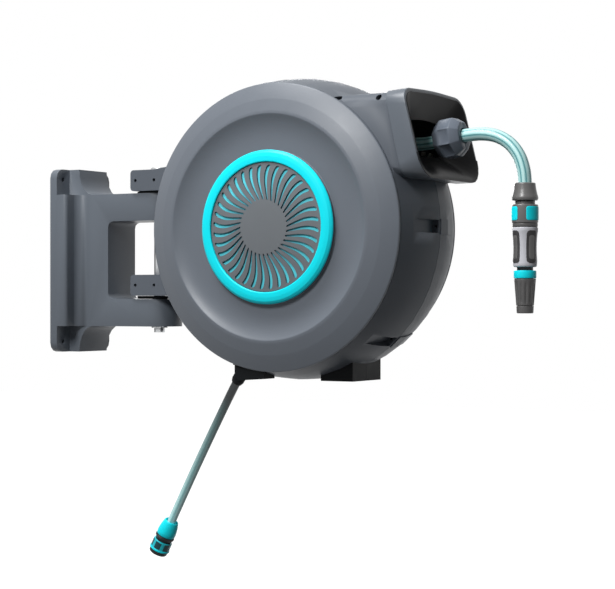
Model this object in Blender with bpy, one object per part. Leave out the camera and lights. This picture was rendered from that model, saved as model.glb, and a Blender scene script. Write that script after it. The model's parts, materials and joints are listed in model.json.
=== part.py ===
"""Retractable garden hose reel that swivels on a wall bracket.

Metres, +Z up. The origin is the centre of the wall plate's back face, +X points away from the wall,
and the reel's front cover faces -Y. The hose leaves the mouth towards +X.
"""
import math

import bmesh
import bpy
from mathutils import Matrix, Vector

# Gaps between neighbouring pieces
SEAT_GAP = 0.0003
RUNNING_GAP = 0.0004
SIDE_PLAY = 0.003
OVERCUT = 0.002
OVERLAP = 0.001
PAST_SPLIT = 0.010
EDGE_ROUND = 0.001
MERGE_DISTANCE = 1e-6
SMOOTH_ANGLE = 32.0
WIDE_SMOOTH_ANGLE = 40.0

# Wall bracket
PLATE_WIDTH = 0.130
PLATE_HEIGHT = 0.276
PLATE_THICKNESS = 0.0125
PLATE_CORNER = 0.014
BLOCK_HEIGHT = 0.198
BLOCK_DEPTH = 0.030
BLOCK_EDGE = 0.006
ARM_WIDTH = 0.068
ARM_FILLET = 0.018
GUSSET_TOP_DEPTH = 0.031
GUSSET_FOOT_DEPTH = 0.0555
GUSSET_SINK = 0.004
GUSSET_STEPS = 5
WINDOW_START = 0.0855
WINDOW_HEIGHT = 0.1166
WINDOW_CORNER = 0.009
WALL_SCREW_RADIUS = 0.0035
WALL_SCREW_INSET = 0.0155
BACK_POCKET_DEPTH = 0.024
BACK_POCKET_WIDTH = 0.050
BACK_POCKET_HEIGHT = 0.074
BACK_RIB = 0.016

# Swivel pin and its bushes
PIN_X = 0.156
PIN_RADIUS = 0.008
PIN_HEAD_RADIUS = 0.013
PIN_HEAD_HEIGHT = 0.005
PIN_TAIL = 0.009
PIN_GROOVE_DEPTH = 0.0015
BUSH_WALL = 0.003
BUSH_FLANGE_RADIUS = 0.018
CLIP_THICKNESS = 0.0015
CLIP_RADIUS = 0.012

# Reel body
PIN_TO_REEL = 0.257
REEL_HEIGHT = 0.0406
BODY_RADIUS = 0.213
BODY_EDGE_RADIUS = BODY_RADIUS - 0.013
REAR_EDGE_RADIUS = BODY_RADIUS - 0.024
BODY_HALF_WIDTH = 0.090
BARREL_PARTS = 4
SHELL_WALL = 0.003
SHELL_SPLIT = 0.0006
ROUND_STEPS = 48
DRUM_STEPS = 24
SMALL_STEPS = 16
PIN_STEPS = 10
AXLE_HOLE_STEPS = 22
SCREW_HOLE_STEPS = 8

# Hinge lugs of the body
LUG_END = 0.130
LUG_HALF_WIDTH = 0.038
LUG_CORNER = 0.005
UPPER_LUG_HEIGHT = 0.031
LOWER_LUG_HEIGHT = 0.031
UPPER_LUG_RISE = 0.008
LUG_RISE_RUN = 0.055
LUG_SINK = 0.030
LOWER_SIDE_PLAY = 0.005
LUG_SCREW_RADIUS = 0.0027
LUG_SCREW_DEPTH = 0.006
LUG_SCREW_OFFSET = 0.017

# Screw scoops on the front half, with a raised pad behind each on the rear half
SCOOP_ANGLES = (0.0, -48.0, 90.0)
SCOOP_WIDTH = 0.018
SCOOP_LENGTH = 0.062
SCOOP_DEPTH = 0.010
SCOOP_END_WALL = 0.004
PAD_WIDTH = 0.021
PAD_HEIGHT = 0.0010
PAD_BOSS_DEPTH = 0.014
BOSS_WALL = 0.003
JOIN_SCREW_RADIUS = 0.0022
JOIN_SCREW_RISE = 0.0045
JOIN_SCREW_REACH = 0.018

# Screw wells in the top edge of the mouth box
WELL_PLACES = ((0.5760, 0.2115), (0.5140, 0.2130))
WELL_RADIUS = 0.0043
WELL_DEPTH = 0.018

# Foot and hose inlet on the body
FOOT_START = 0.460
FOOT_END = 0.511
FOOT_HALF_WIDTH = 0.040
FOOT_BOTTOM = -0.172
FOOT_SINK = 0.030
INLET_START = 0.332
INLET_END = 0.398
INLET_BACK = BODY_HALF_WIDTH - 0.028
INLET_FRONT = BODY_HALF_WIDTH - 0.0005
INLET_FLAT = 0.022
INLET_RISE = 0.003
INLET_LEAN = (0.0147, 0.022)

# Side covers
COVER_WALL = 0.0028
COVER_RIM_DEPTH = 0.0045
COVER_CHAMFER = (BODY_RADIUS - 0.0330, 0.0085)
COVER_LIP = (BODY_RADIUS - 0.0565, 0.0183)
COVER_BOWL = (BODY_RADIUS - 0.0705, 0.0052)
COVER_BOWL_RISE = (BODY_RADIUS - 0.0870, 0.0098)
COVER_DRAFT = 0.0005
LIP_SHOULDER = (0.0035, 0.0012)
LIP_FALL = (0.0045, 0.0030)
BOWL_EDGE = (0.0040, 0.0030)
BOWL_FLOOR = (0.0075, 0.0010)
RING_MARGIN = 0.0018
RING_OUTER = BODY_RADIUS - 0.1063
RING_INNER = RING_OUTER - 0.0172
RING_SEAT_DEPTH = 0.0172
RING_HEIGHT = 0.0050
RING_CROWN = 0.0015
GRILLE_WALL = 0.0026
GRILLE_RIM_DEPTH = 0.0028
GRILLE_RISE = 0.0055
GRILLE_LEDGE = 0.004
HUB_RADIUS = 0.035
SLOT_COUNT = 36
SLOT_START = 0.0372
SLOT_END = RING_INNER - 0.0047
SLOT_INNER_WIDTH = 0.0028
SLOT_OUTER_WIDTH = 0.0060
SLOT_END_TAPER = 0.55
SLOT_SWEEP = 5.4
SLOT_BEND = 5.2
SLOT_STATIONS = 6
BACKING_LEDGE = 0.005
BACKING_GAP = 0.0015
BACKING_WALL = 0.0014
BACKING_RIM_GAP = 0.001

# Mouth of the body, where the hose comes out
BOX_HALF_WIDTH = BODY_HALF_WIDTH - 0.0015
BOX_BOTTOM_START = 0.100
BOX_START = 0.470
BOX_CORNER = 0.019
SEAM_TOP = (0.586, 0.219)
SEAM_BOTTOM = (0.6125, 0.1045)
RIM_TOP = (0.6145, 0.2230)
RIM_BOTTOM = (0.6448, 0.1025)
FRAME_STEP = 0.0015
RIM_FLARE = 0.0020
RIM_CROWN = 0.0035
RIM_WALL = 0.005
RIM_TOP_CORNER = 0.024
RIM_BOTTOM_CORNER = 0.033
THROAT_X = 0.6005
THROAT_BOTTOM = 0.137
THROAT_TOP = 0.184
THROAT_HALF_WIDTH = 0.052
THROAT_CORNER = 0.014
FUNNEL_WALL = 0.003
PAST_SEAM = 0.010

# Drum and what it carries
AXLE_RADIUS = 0.015
AXLE_BORE = 0.008
DRUM_HALF_WIDTH = BODY_HALF_WIDTH - 0.030
AXLE_FRONT = DRUM_HALF_WIDTH + 0.006
AXLE_BORE_LENGTH = 0.034
AXLE_PORT_RADIUS = 0.004
ELBOW_WALL = 0.004
BRANCH_WALL = 0.003
BRANCH_LINING = 0.002
BRANCH_SINK = 0.010
BUSH_RADIUS = 0.018
DRUM_CORE_RADIUS = 0.075
DRUM_WALL = 0.004
FLANGE_RADIUS = 0.163
FLANGE_THICKNESS = 0.004
FRONT_FLANGE_CLEAR = 0.012
LID_THICKNESS = 0.003
REAR_BUSH_STEP = 0.004
SPRING_INNER = 0.024
SPRING_OUTER = 0.0691
SPRING_TURNS = 3
SPRING_STEPS = 12
SPRING_HALF_WIDTH = 0.022
SPRING_MIDDLE = 0.012
SPRING_STRIP = 0.0012
UNION_RADIUS = 0.024
UNION_LENGTH = 0.020
OUTLET_RADIUS = 0.006

# Gears, ratchet and pawl
TOOTH_MODULE = 0.0035
DRUM_TEETH = 14
IDLER_TEETH = 36
SCREW_TEETH = 12
GEAR_LINE_ANGLE = 30.0
TOOTH_ROOT = 1.25
TOOTH_TIP = 0.92
TOOTH_ROOT_SHARE = 0.31
TOOTH_TIP_SHARE = 0.13
GEAR_START = DRUM_HALF_WIDTH + FLANGE_THICKNESS + 0.0075
GEAR_THICKNESS = 0.007
GEAR_SLEEVE_WALL = 0.0018
RATCHET_TEETH = 12
RATCHET_RADIUS = 0.062
RATCHET_DEPTH = 0.007
RATCHET_THICKNESS = 0.005
RATCHET_BAND = 0.012
RATCHET_TOOTH = ((0.45, 0.58), (0.0, 0.16), (0.0, 0.06), (1.0, 0.0))
PAWL_ANGLE = 214.0
PAWL_REACH = 0.034
PAWL_PIN_RADIUS = 0.003
PAWL_WIDTH = 0.009
PAWL_CLEAR = 0.001
PAWL_NOSE = (0.003, 0.008)
PAWL_LIFT = 0.0006
PIN_SHOULDER = 0.003
IDLER_PIN_RADIUS = 0.004
IDLER_WASHER = 0.004

# Hose guide that lays the turns side by side
SCREW_RADIUS = 0.008
SCREW_JOURNAL = 0.005
SCREW_GROOVE = 0.0018
SCREW_GROOVE_SHARE = 0.13
SCREW_SIDES = 8
SCREW_ROWS = 24
SCREW_HALF_LENGTH = DRUM_HALF_WIDTH - 0.008
CARRIAGE_MARGIN = 0.013
ROD_OFFSET = (0.022, -0.021)
ROD_RADIUS = 0.004
ROD_STEPS = 12
ROD_HOUSING = 0.004
CARRIAGE_CORNER = 0.004
CARRIAGE_HALF_WIDTH = 0.012
CARRIAGE_REACH = 0.030
EYE_RADIUS = 0.0096
EYE_FLARE = 0.0022
EYE_WALL = 0.0062
EYE_HALF_DEPTH = 0.008

# Hose
HOSE_RADIUS = 0.009
WINDING_RADIUS = 0.141
WINDING_PITCH = 0.0189
WINDING_SIDE_GAP = 0.0013
WINDING_ROOM = 2.0 * (DRUM_HALF_WIDTH - WINDING_SIDE_GAP - HOSE_RADIUS)
WINDING_TURNS = math.floor(4.0 * WINDING_ROOM / WINDING_PITCH) / 4.0
WINDING_POINTS = 24
LAYER_GAP = 0.001
ROUTE_SPACING = 0.002
CURVE_STEPS = 16
ROUTE_EVERY = 7
HOSE_ROUTE = (
    (0.4130, 0.0, 0.2004), (0.4450, 0.0, 0.1990), (0.4800, 0.0, 0.1905), (0.5150, 0.0, 0.1765),
    (0.5430, 0.0, 0.1645), (0.5680, 0.0, 0.1570), (0.5930, 0.0, 0.1545), (0.6170, 0.0, 0.1560),
    (0.6420, 0.0, 0.1600), (0.6680, 0.0, 0.1632), (0.6900, 0.0, 0.1637), (0.7110, 0.0, 0.1595),
    (0.7290, 0.0, 0.1490), (0.7420, 0.0, 0.1330), (0.7490, 0.0, 0.1140), (0.7510, 0.0, 0.0960),
    (0.7510, 0.0, 0.0820),
)
STOPPER_X = 0.642
STOPPER_RADIUS = 0.0285
STOPPER_HALF_LENGTH = 0.020
STOPPER_END_RADIUS = 0.020
STOPPER_BAND = 0.009
STOPPER_SIDES = 8
STOPPER_PLAY = 0.001
STOPPER_DISH = 0.0012
STOPPER_FRAME = 0.003
FLAT_FACE = 0.1

# Connector and spray nozzle that hang from the hose
NOZZLE_X = 0.751
NUT_TOP = 0.096
NUT_LENGTH = 0.0235
NUT_TOP_RADIUS = 0.0140
NUT_RADIUS = 0.0178
NUT_SKIRT = 0.004
NECK_RADIUS = 0.01325
NECK_LENGTH = 0.006
NECK_FLARE = 0.002
CONNECTOR_CORE = 0.0142
CONNECTOR_LENGTH = 0.029
COLLAR_RADIUS = 0.0175
COLLAR_SHORT = 0.005
COLLAR_STEP = 0.0006
COLLAR_WAIST = 0.0012
COLLAR_WAIST_PLACES = (0.008, 0.011, 0.017, 0.020)
PLUG_RADIUS = 0.0085
PLUG_LENGTH = 0.016
GRIP_TOP_RADIUS = 0.0172
GRIP_WAIST_RADIUS = 0.0150
GRIP_RADIUS = 0.0162
GRIP_LENGTH = 0.053
GRIP_SHOULDER = (0.006, 0.013)
GRIP_SKIRT = (0.014, 0.008)
SPOUT_NECK_RADIUS = 0.01075
SPOUT_NECK_LENGTH = 0.0045
SPOUT_IN_TIP = 0.010
TIP_RING_RADIUS = 0.0150
TIP_RING_LENGTH = 0.0105
TIP_RADIUS = 0.0145
TIP_END_RADIUS = 0.0110
TIP_LENGTH = 0.046
TIP_BORE = 0.0055
TIP_THROAT = 0.00275
TIP_SOCKET = 0.012
TIP_MOUTH = 0.014
TIP_FLUTES = 12
FLUTE_RADIUS = 0.0016
FLUTE_STEPS = 6
FLUTE_OFFSET = 0.0008
FLUTE_TOP = 0.006
FLUTE_END = 0.016

# Supply hose that hangs below the body, and its connector
LEADER_RADIUS = 0.006
LEADER_Y = 0.0145 - BODY_HALF_WIDTH
SUPPLY_ROUTE = (
    (0.4130, LEADER_Y, -0.0010), (0.4125, LEADER_Y, -0.0300), (0.4080, LEADER_Y, -0.0650),
    (0.3960, LEADER_Y, -0.1000), (0.3790, LEADER_Y, -0.1290), (0.3620, LEADER_Y, -0.1500),
    (0.3500, LEADER_Y, -0.1660), (0.3400, LEADER_Y, -0.1810), (0.3210, LEADER_Y, -0.2140),
    (0.2980, LEADER_Y, -0.2550), (0.2760, LEADER_Y, -0.2950), (0.2550, LEADER_Y, -0.3340),
    (0.2370, LEADER_Y, -0.3680), (0.2275, LEADER_Y, -0.3860),
)
GLAND_TOP = -0.166
LEADER_NUT_RADIUS = 0.0125
LEADER_NUT_LENGTH = 0.024
LEADER_NUT_SHOULDER = ((0.003, 0.0), (0.001, 0.004), (0.0, 0.008))
LEADER_RING_STEP = 0.0006
LEADER_RING_LENGTH = 0.003
LEADER_BODY_RADIUS = 0.0145
LEADER_BODY_LENGTH = 0.029
LEADER_CORE = 0.0112
LEADER_LIP = 0.0055
LEADER_COLLAR_DROP = 0.0078
LEADER_COLLAR_TAPER = ((0.0015, 0.0), (0.0008, 0.006))
LEADER_COLLAR_EDGE = 0.002
HOSE_IN_LEADER_NUT = 0.010
GLAND_RADIUS = 0.0095
GLAND_LENGTH = 0.0085
GLAND_TAPER = 0.003
GLAND_PLAY = 0.0010
FEED_HOLE_IN = 0.035
FEED_HOLE_OUT = 0.030

# Colours, roughness and metallic values
FINISHES = {
    "grey plastic": ((0.128, 0.143, 0.165), 0.48, 0.0),
    "dark plastic": ((0.045, 0.048, 0.054), 0.55, 0.0),
    "cyan plastic": ((0.020, 0.680, 0.760), 0.38, 0.0),
    "pale plastic": ((0.330, 0.340, 0.370), 0.45, 0.0),
    "teal hose": ((0.230, 0.560, 0.540), 0.35, 0.0),
    "dark hose": ((0.060, 0.105, 0.110), 0.45, 0.0),
    "steel": ((0.560, 0.570, 0.580), 0.30, 1.0),
    "brass": ((0.710, 0.560, 0.280), 0.35, 1.0),
    "bearing plastic": ((0.620, 0.600, 0.540), 0.50, 0.0),
}

REEL_X = PIN_X + PIN_TO_REEL
AXLE_PLACE = (REEL_X, REEL_HEIGHT)
GEAR_LINE = math.radians(GEAR_LINE_ANGLE)
SCREW_DISTANCE = TOOTH_MODULE * (DRUM_TEETH / 2.0 + IDLER_TEETH + SCREW_TEETH / 2.0)
SCREW_PLACE = (REEL_X + SCREW_DISTANCE * math.cos(GEAR_LINE),
               REEL_HEIGHT + SCREW_DISTANCE * math.sin(GEAR_LINE))
SCREW_PITCH = WINDING_PITCH * SCREW_TEETH / DRUM_TEETH
ROD_PLACE = (SCREW_PLACE[0] + ROD_OFFSET[0], SCREW_PLACE[1] + ROD_OFFSET[1])
EYE_X = SCREW_PLACE[0]
FULL_TURN = 2.0 * math.pi
UP = Vector((0.0, 0.0, 1.0))
FRONT = Vector((0.0, -1.0, 0.0))
REAR = Vector((0.0, 1.0, 0.0))


def clear_scene():
    for item in list(bpy.data.objects):
        bpy.data.objects.remove(item, do_unlink=True)


def finish_material(name):
    found = bpy.data.materials.get(name)
    if found:
        return found
    colour, roughness, metallic = FINISHES[name]
    made = bpy.data.materials.new(name)
    made.use_nodes = True
    shader = made.node_tree.nodes["Principled BSDF"]
    shader.inputs["Base Color"].default_value = (*colour, 1.0)
    shader.inputs["Roughness"].default_value = roughness
    shader.inputs["Metallic"].default_value = metallic
    made.diffuse_color = (*colour, 1.0)
    return made


def pivot(name, place, parent=None):
    """An empty on a joint's axis, which carries the pieces that move with it."""
    empty = bpy.data.objects.new(name, None)
    bpy.context.scene.collection.objects.link(empty)
    empty["place"] = tuple(place)
    start = Vector(parent["place"]) if parent else Vector()
    empty.location = Vector(place) - start
    empty.parent = parent
    return empty


def place_of(carrier):
    return Vector(carrier["place"]) if carrier else Vector()


def add_piece(name, bm, finish, carrier, smooth_angle=SMOOTH_ANGLE):
    """Turn a mesh in world places into a named object that its carrier moves."""
    mesh = bpy.data.meshes.new(name)
    bm.to_mesh(mesh)
    bm.free()
    mesh.transform(Matrix.Translation(-place_of(carrier)))
    mesh.materials.append(finish_material(finish))
    mesh.shade_smooth()
    mesh.set_sharp_from_angle(angle=math.radians(smooth_angle))
    piece = bpy.data.objects.new(name, mesh)
    bpy.context.scene.collection.objects.link(piece)
    piece.parent = carrier
    return piece


def tool_object(bm):
    mesh = bpy.data.meshes.new("tool")
    bm.to_mesh(mesh)
    bm.free()
    tool = bpy.data.objects.new("tool", mesh)
    bpy.context.scene.collection.objects.link(tool)
    tool.hide_render = True
    tool.display_type = 'WIRE'
    return tool


def combined(base, tools, operation):
    """Apply one Boolean operation of several meshes to a mesh and give back the result."""
    body = tool_object(base)
    cutters = [tool_object(bm) for bm in tools]
    for cutter in cutters:
        step = body.modifiers.new(operation, 'BOOLEAN')
        step.operation = operation
        step.object = cutter
    view = bpy.context.evaluated_depsgraph_get()
    result = bmesh.new()
    result.from_object(body, view)
    for item in [body] + cutters:
        bpy.data.objects.remove(item, do_unlink=True)
    bmesh.ops.remove_doubles(result, verts=result.verts, dist=MERGE_DISTANCE)
    bmesh.ops.dissolve_degenerate(result, edges=result.edges, dist=MERGE_DISTANCE)
    return result


def joined(base, *tools):
    return combined(base, tools, 'UNION')


def cut(base, *tools):
    return combined(base, tools, 'DIFFERENCE')


def arc(centre, radius, start, end, steps):
    """Points on an arc, angles in degrees, both ends included."""
    turn = [math.radians(start + (end - start) * i / steps) for i in range(steps + 1)]
    return [(centre[0] + radius * math.cos(a), centre[1] + radius * math.sin(a)) for a in turn]


def rounded(corners, steps=3):
    """An outline whose corners are (a, b, radius): each corner becomes an arc of that radius."""
    points = []
    count = len(corners)
    for i, (a, b, radius) in enumerate(corners):
        here = Vector((a, b))
        if radius == 0.0:
            points.append((a, b))
            continue
        before = (Vector(corners[i - 1][:2]) - here).normalized()
        after = (Vector(corners[(i + 1) % count][:2]) - here).normalized()
        half = before.angle(after) / 2.0
        reach = radius / math.tan(half)
        centre = here + (before + after).normalized() * radius / math.sin(half)
        first = here + before * reach - centre
        last = here + after * reach - centre
        sweep = first.angle_signed(last)
        for k in range(steps + 1):
            spoke = first.copy()
            spoke.rotate(Matrix.Rotation(-sweep * k / steps, 2))
            points.append(tuple(centre + spoke))
    return points


def outward(bm):
    """Point every face of a closed mesh outwards."""
    bmesh.ops.recalc_face_normals(bm, faces=bm.faces)
    if bm.calc_volume(signed=True) < 0.0:
        bmesh.ops.reverse_faces(bm, faces=bm.faces)
    return bm


AXIS_FRAMES = {
    "X": Matrix(((0, 0, 1, 0), (1, 0, 0, 0), (0, 1, 0, 0), (0, 0, 0, 1))),
    "Y": Matrix(((1, 0, 0, 0), (0, 0, 1, 0), (0, 1, 0, 0), (0, 0, 0, 1))),
    "Z": Matrix.Identity(4),
}


def prism(outline, axis, low, high):
    """Extrude an outline along X, Y or Z. Its two numbers are (y, z), (x, z) or (x, y)."""
    bm = bmesh.new()
    base = bm.faces.new([bm.verts.new((a, b, low)) for a, b in outline])
    grown = bmesh.ops.extrude_face_region(bm, geom=[base])
    top = [part for part in grown["geom"] if isinstance(part, bmesh.types.BMVert)]
    bmesh.ops.translate(bm, verts=top, vec=(0.0, 0.0, high - low))
    bm.transform(AXIS_FRAMES[axis])
    return outward(bm)


def box(low, high):
    bm = bmesh.new()
    bmesh.ops.create_cube(bm, size=1.0)
    low = Vector(low)
    high = Vector(high)
    size = high - low
    bmesh.ops.scale(bm, verts=bm.verts, vec=size)
    bmesh.ops.translate(bm, verts=bm.verts, vec=(low + high) / 2.0)
    return bm


def turned(profile, steps, centre, direction, is_ring=True):
    """Spin a profile of (radius, distance along direction) about an axis through centre."""
    bm = bmesh.new()
    verts = [bm.verts.new((radius, 0.0, along)) for radius, along in profile]
    edges = [bm.edges.new(pair) for pair in zip(verts, verts[1:])]
    if is_ring:
        edges.append(bm.edges.new((verts[-1], verts[0])))
    bmesh.ops.spin(bm, geom=verts + edges, axis=UP, cent=(0.0, 0.0, 0.0), steps=steps,
                   angle=FULL_TURN, use_merge=True)
    bmesh.ops.remove_doubles(bm, verts=bm.verts, dist=MERGE_DISTANCE)
    turn = UP.rotation_difference(Vector(direction)).to_matrix().to_4x4()
    bm.transform(Matrix.Translation(Vector(centre)) @ turn)
    return outward(bm)


def facet_radius(radius, steps):
    """How near a round opening's flat facets come to its axis."""
    return radius * math.cos(math.pi / steps)


def rod(radius, start, end, steps=SMALL_STEPS):
    """A plain round bar between two points."""
    start = Vector(start)
    along = Vector(end) - start
    profile = ((0.0, 0.0), (radius, 0.0), (radius, along.length), (0.0, along.length))
    return turned(profile, steps, start, along.normalized(), is_ring=False)


def cross_rod(radius, place, start, end, steps=SMALL_STEPS):
    """A plain round bar along Y, at a place given as (x, z)."""
    return rod(radius, (place[0], start, place[1]), (place[0], end, place[1]), steps)


def lofted(loops):
    """Bridge closed loops with the same number of points. The last one joins the first again."""
    bm = bmesh.new()
    rows = [[bm.verts.new(point) for point in loop] for loop in loops]
    count = len(rows[0])
    for near, far in zip(rows, rows[1:] + rows[:1]):
        for i in range(count):
            j = (i + 1) % count
            bm.faces.new((near[i], near[j], far[j], far[i]))
    return outward(bm)


def capped_loft(first, last):
    """A solid between two closed loops with the same number of points."""
    bm = bmesh.new()
    near = [bm.verts.new(point) for point in first]
    far = [bm.verts.new(point) for point in last]
    count = len(near)
    for i in range(count):
        j = (i + 1) % count
        bm.faces.new((near[i], near[j], far[j], far[i]))
    bm.faces.new(near)
    bm.faces.new(far)
    return outward(bm)


def halved(bm, place, normal):
    """Keep the half of a closed mesh that lies behind a plane, and close the cut."""
    parts = bm.verts[:] + bm.edges[:] + bm.faces[:]
    sliced = bmesh.ops.bisect_plane(bm, geom=parts, plane_co=place, plane_no=normal, clear_outer=True)
    rim = [part for part in sliced["geom_cut"] if isinstance(part, bmesh.types.BMEdge)]
    bmesh.ops.holes_fill(bm, edges=rim, sides=0)
    return outward(bm)


def smooth_route(points, spacing):
    """Read evenly spaced points from a smooth curve through the route's points."""
    route = [Vector(point) for point in points]
    ends = [route[0] * 2.0 - route[1]] + route + [route[-1] * 2.0 - route[-2]]
    fine = []
    for a, b, c, d in zip(ends, ends[1:], ends[2:], ends[3:]):
        for k in range(CURVE_STEPS):
            t = k / CURVE_STEPS
            fine.append(0.5 * (2.0 * b + (c - a) * t + (2.0 * a - 5.0 * b + 4.0 * c - d) * t ** 2
                               + (3.0 * b - a - 3.0 * c + d) * t ** 3))
    fine.append(route[-1])
    lengths = [0.0]
    for a, b in zip(fine, fine[1:]):
        lengths.append(lengths[-1] + (b - a).length)
    count = max(2, round(lengths[-1] / spacing))
    result = []
    index = 0
    for k in range(count + 1):
        goal = lengths[-1] * k / count
        while index < len(lengths) - 2 and lengths[index + 1] < goal:
            index += 1
        share = (goal - lengths[index]) / (lengths[index + 1] - lengths[index])
        result.append(fine[index].lerp(fine[index + 1], share))
    return result


def add_tube(name, points, radius, finish, carrier, sides):
    """A hose as a curve with a round bevel and filled ends."""
    curve = bpy.data.curves.new(name, 'CURVE')
    curve.dimensions = '3D'
    curve.bevel_depth = radius
    curve.bevel_resolution = sides
    curve.use_fill_caps = True
    spline = curve.splines.new('POLY')
    spline.points.add(len(points) - 1)
    start = place_of(carrier)
    for target, point in zip(spline.points, points):
        target.co = (*(Vector(point) - start), 1.0)
    curve.materials.append(finish_material(finish))
    piece = bpy.data.objects.new(name, curve)
    bpy.context.scene.collection.objects.link(piece)
    piece.parent = carrier
    return piece


def arm_outline():
    """Plan of the bracket's arm: filleted into the block and round about the swivel pin."""
    half = ARM_WIDTH / 2.0
    base = BLOCK_DEPTH - OVERLAP
    upper = arc((base + ARM_FILLET, half + ARM_FILLET), ARM_FILLET, 180.0, 270.0, 4)
    upper += arc((PIN_X, 0.0), half, 90.0, 0.0, 6)[:-1]
    nose = [(PIN_X + half, 0.0)]
    lower = [(a, -b) for a, b in upper]
    return nose + upper[::-1] + lower


def gusset(sign):
    """Web between the plate's end and the arm, with a hollow curved edge."""
    reach = PLATE_HEIGHT / 2.0
    foot = BLOCK_HEIGHT / 2.0
    rise = reach - foot
    run = GUSSET_FOOT_DEPTH - GUSSET_TOP_DEPTH
    curve = []
    for k in range(GUSSET_STEPS + 1):
        turn = math.pi / 2.0 * k / GUSSET_STEPS
        curve.append((GUSSET_FOOT_DEPTH - run * math.sin(turn), foot + rise * (1.0 - math.cos(turn))))
    base = [(GUSSET_SINK, foot - GUSSET_SINK), (GUSSET_FOOT_DEPTH, foot - GUSSET_SINK)]
    outline = [(a, sign * b) for a, b in base + curve + [(GUSSET_SINK, reach)]]
    half = ARM_WIDTH / 2.0
    return prism(outline, "Y", -half, half)


def wall_bracket():
    half_w = PLATE_WIDTH / 2.0
    half_h = PLATE_HEIGHT / 2.0
    block_h = BLOCK_HEIGHT / 2.0
    plate = prism(rounded([(-half_w, -half_h, PLATE_CORNER), (half_w, -half_h, PLATE_CORNER),
                           (half_w, half_h, PLATE_CORNER), (-half_w, half_h, PLATE_CORNER)]),
                  "X", 0.0, PLATE_THICKNESS)
    block = prism(rounded([(OVERLAP, -half_w, 0.0), (BLOCK_DEPTH, -half_w, BLOCK_EDGE),
                           (BLOCK_DEPTH, half_w, BLOCK_EDGE), (OVERLAP, half_w, 0.0)]),
                  "Z", -block_h, block_h)
    arm = prism(arm_outline(), "Z", -block_h, block_h)
    body = joined(plate, block, arm, gusset(1.0), gusset(-1.0))
    window_h = WINDOW_HEIGHT / 2.0
    beyond = PIN_X + ARM_WIDTH
    window = prism(rounded([(WINDOW_START, -window_h, WINDOW_CORNER), (beyond, -window_h, 0.0),
                            (beyond, window_h, 0.0), (WINDOW_START, window_h, WINDOW_CORNER)]),
                   "Y", -ARM_WIDTH, ARM_WIDTH)
    seat = PIN_RADIUS + BUSH_WALL + 2.0 * SEAT_GAP
    bore = rod(seat, (PIN_X, 0.0, -half_h), (PIN_X, 0.0, half_h), SMALL_STEPS)
    cutters = [window, bore]
    beyond = PLATE_THICKNESS + OVERCUT
    for side in (-1.0, 1.0):
        for level in (-1.0, 1.0):
            y = side * (half_w - WALL_SCREW_INSET)
            z = level * (half_h - WALL_SCREW_INSET)
            cutters.append(rod(WALL_SCREW_RADIUS, (-OVERCUT, y, z), (beyond, y, z), PIN_STEPS))
            low_y, high_y = sorted((side * BACK_RIB / 2.0, side * (BACK_RIB / 2.0 + BACK_POCKET_WIDTH)))
            low_z, high_z = sorted((level * BACK_RIB / 2.0, level * (BACK_RIB / 2.0 + BACK_POCKET_HEIGHT)))
            cutters.append(box((-OVERCUT, low_y, low_z), (BACK_POCKET_DEPTH, high_y, high_z)))
    return add_piece("wall_bracket", cut(body, *cutters), "grey plastic", None)


def lug_levels():
    """Heights of the lugs' lower and upper faces, worked out from the bracket's two beams."""
    upper = BLOCK_HEIGHT / 2.0 + SIDE_PLAY
    lower = -WINDOW_HEIGHT / 2.0 + LOWER_SIDE_PLAY
    return (upper, upper + UPPER_LUG_HEIGHT), (lower, lower + LOWER_LUG_HEIGHT)


def swivel_hardware(swivel):
    """Pin through both lugs and beams, a flanged bush in each beam, and a clip below."""
    (upper_low, upper_high), (lower_low, lower_high) = lug_levels()
    beam_low = -BLOCK_HEIGHT / 2.0
    tail = beam_low - PIN_TAIL
    shank_top = upper_high + SEAT_GAP
    groove_top = beam_low - SEAT_GAP
    groove_low = groove_top - CLIP_THICKNESS - 2.0 * SEAT_GAP
    waist = PIN_RADIUS - PIN_GROOVE_DEPTH
    profile = ((0.0, tail), (PIN_RADIUS, tail), (PIN_RADIUS, groove_low),
               (waist, groove_low), (waist, groove_top), (PIN_RADIUS, groove_top),
               (PIN_RADIUS, shank_top), (PIN_HEAD_RADIUS, shank_top),
               (PIN_HEAD_RADIUS, shank_top + PIN_HEAD_HEIGHT - EDGE_ROUND),
               (PIN_HEAD_RADIUS - EDGE_ROUND, shank_top + PIN_HEAD_HEIGHT),
               (0.0, shank_top + PIN_HEAD_HEIGHT))
    axis = (PIN_X, 0.0, 0.0)
    add_piece("pivot_pin", turned(profile, SMALL_STEPS, axis, UP, is_ring=False), "steel", swivel)
    beams = (("upper", WINDOW_HEIGHT / 2.0, BLOCK_HEIGHT / 2.0, upper_low),
             ("lower", -BLOCK_HEIGHT / 2.0, -WINDOW_HEIGHT / 2.0, lower_low))
    for name, low, high, seat in beams:
        inner = PIN_RADIUS + SEAT_GAP
        outer = inner + BUSH_WALL
        bush = ((inner, low), (outer, low), (outer, high + SEAT_GAP), (BUSH_FLANGE_RADIUS, high + SEAT_GAP),
                (BUSH_FLANGE_RADIUS, seat - SEAT_GAP), (inner, seat - SEAT_GAP))
        add_piece(name + "_bush", turned(bush, SMALL_STEPS, axis, UP), "bearing plastic", None)
    clip = turned(((waist + SEAT_GAP, groove_low + SEAT_GAP), (CLIP_RADIUS, groove_low + SEAT_GAP),
                   (CLIP_RADIUS, groove_top - SEAT_GAP), (waist + SEAT_GAP, groove_top - SEAT_GAP)),
                  SMALL_STEPS, axis, UP)
    beyond = PIN_X + 2.0 * CLIP_RADIUS
    slot = box((PIN_X, -waist, groove_low - OVERCUT), (beyond, waist, groove_top + OVERCUT))
    add_piece("pin_clip", cut(clip, slot), "steel", swivel)


def edge_radius(side):
    """Radius of the barrel's end. The rear half is more strongly domed than the front half."""
    return BODY_EDGE_RADIUS if side < 0.0 else REAR_EDGE_RADIUS


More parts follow.
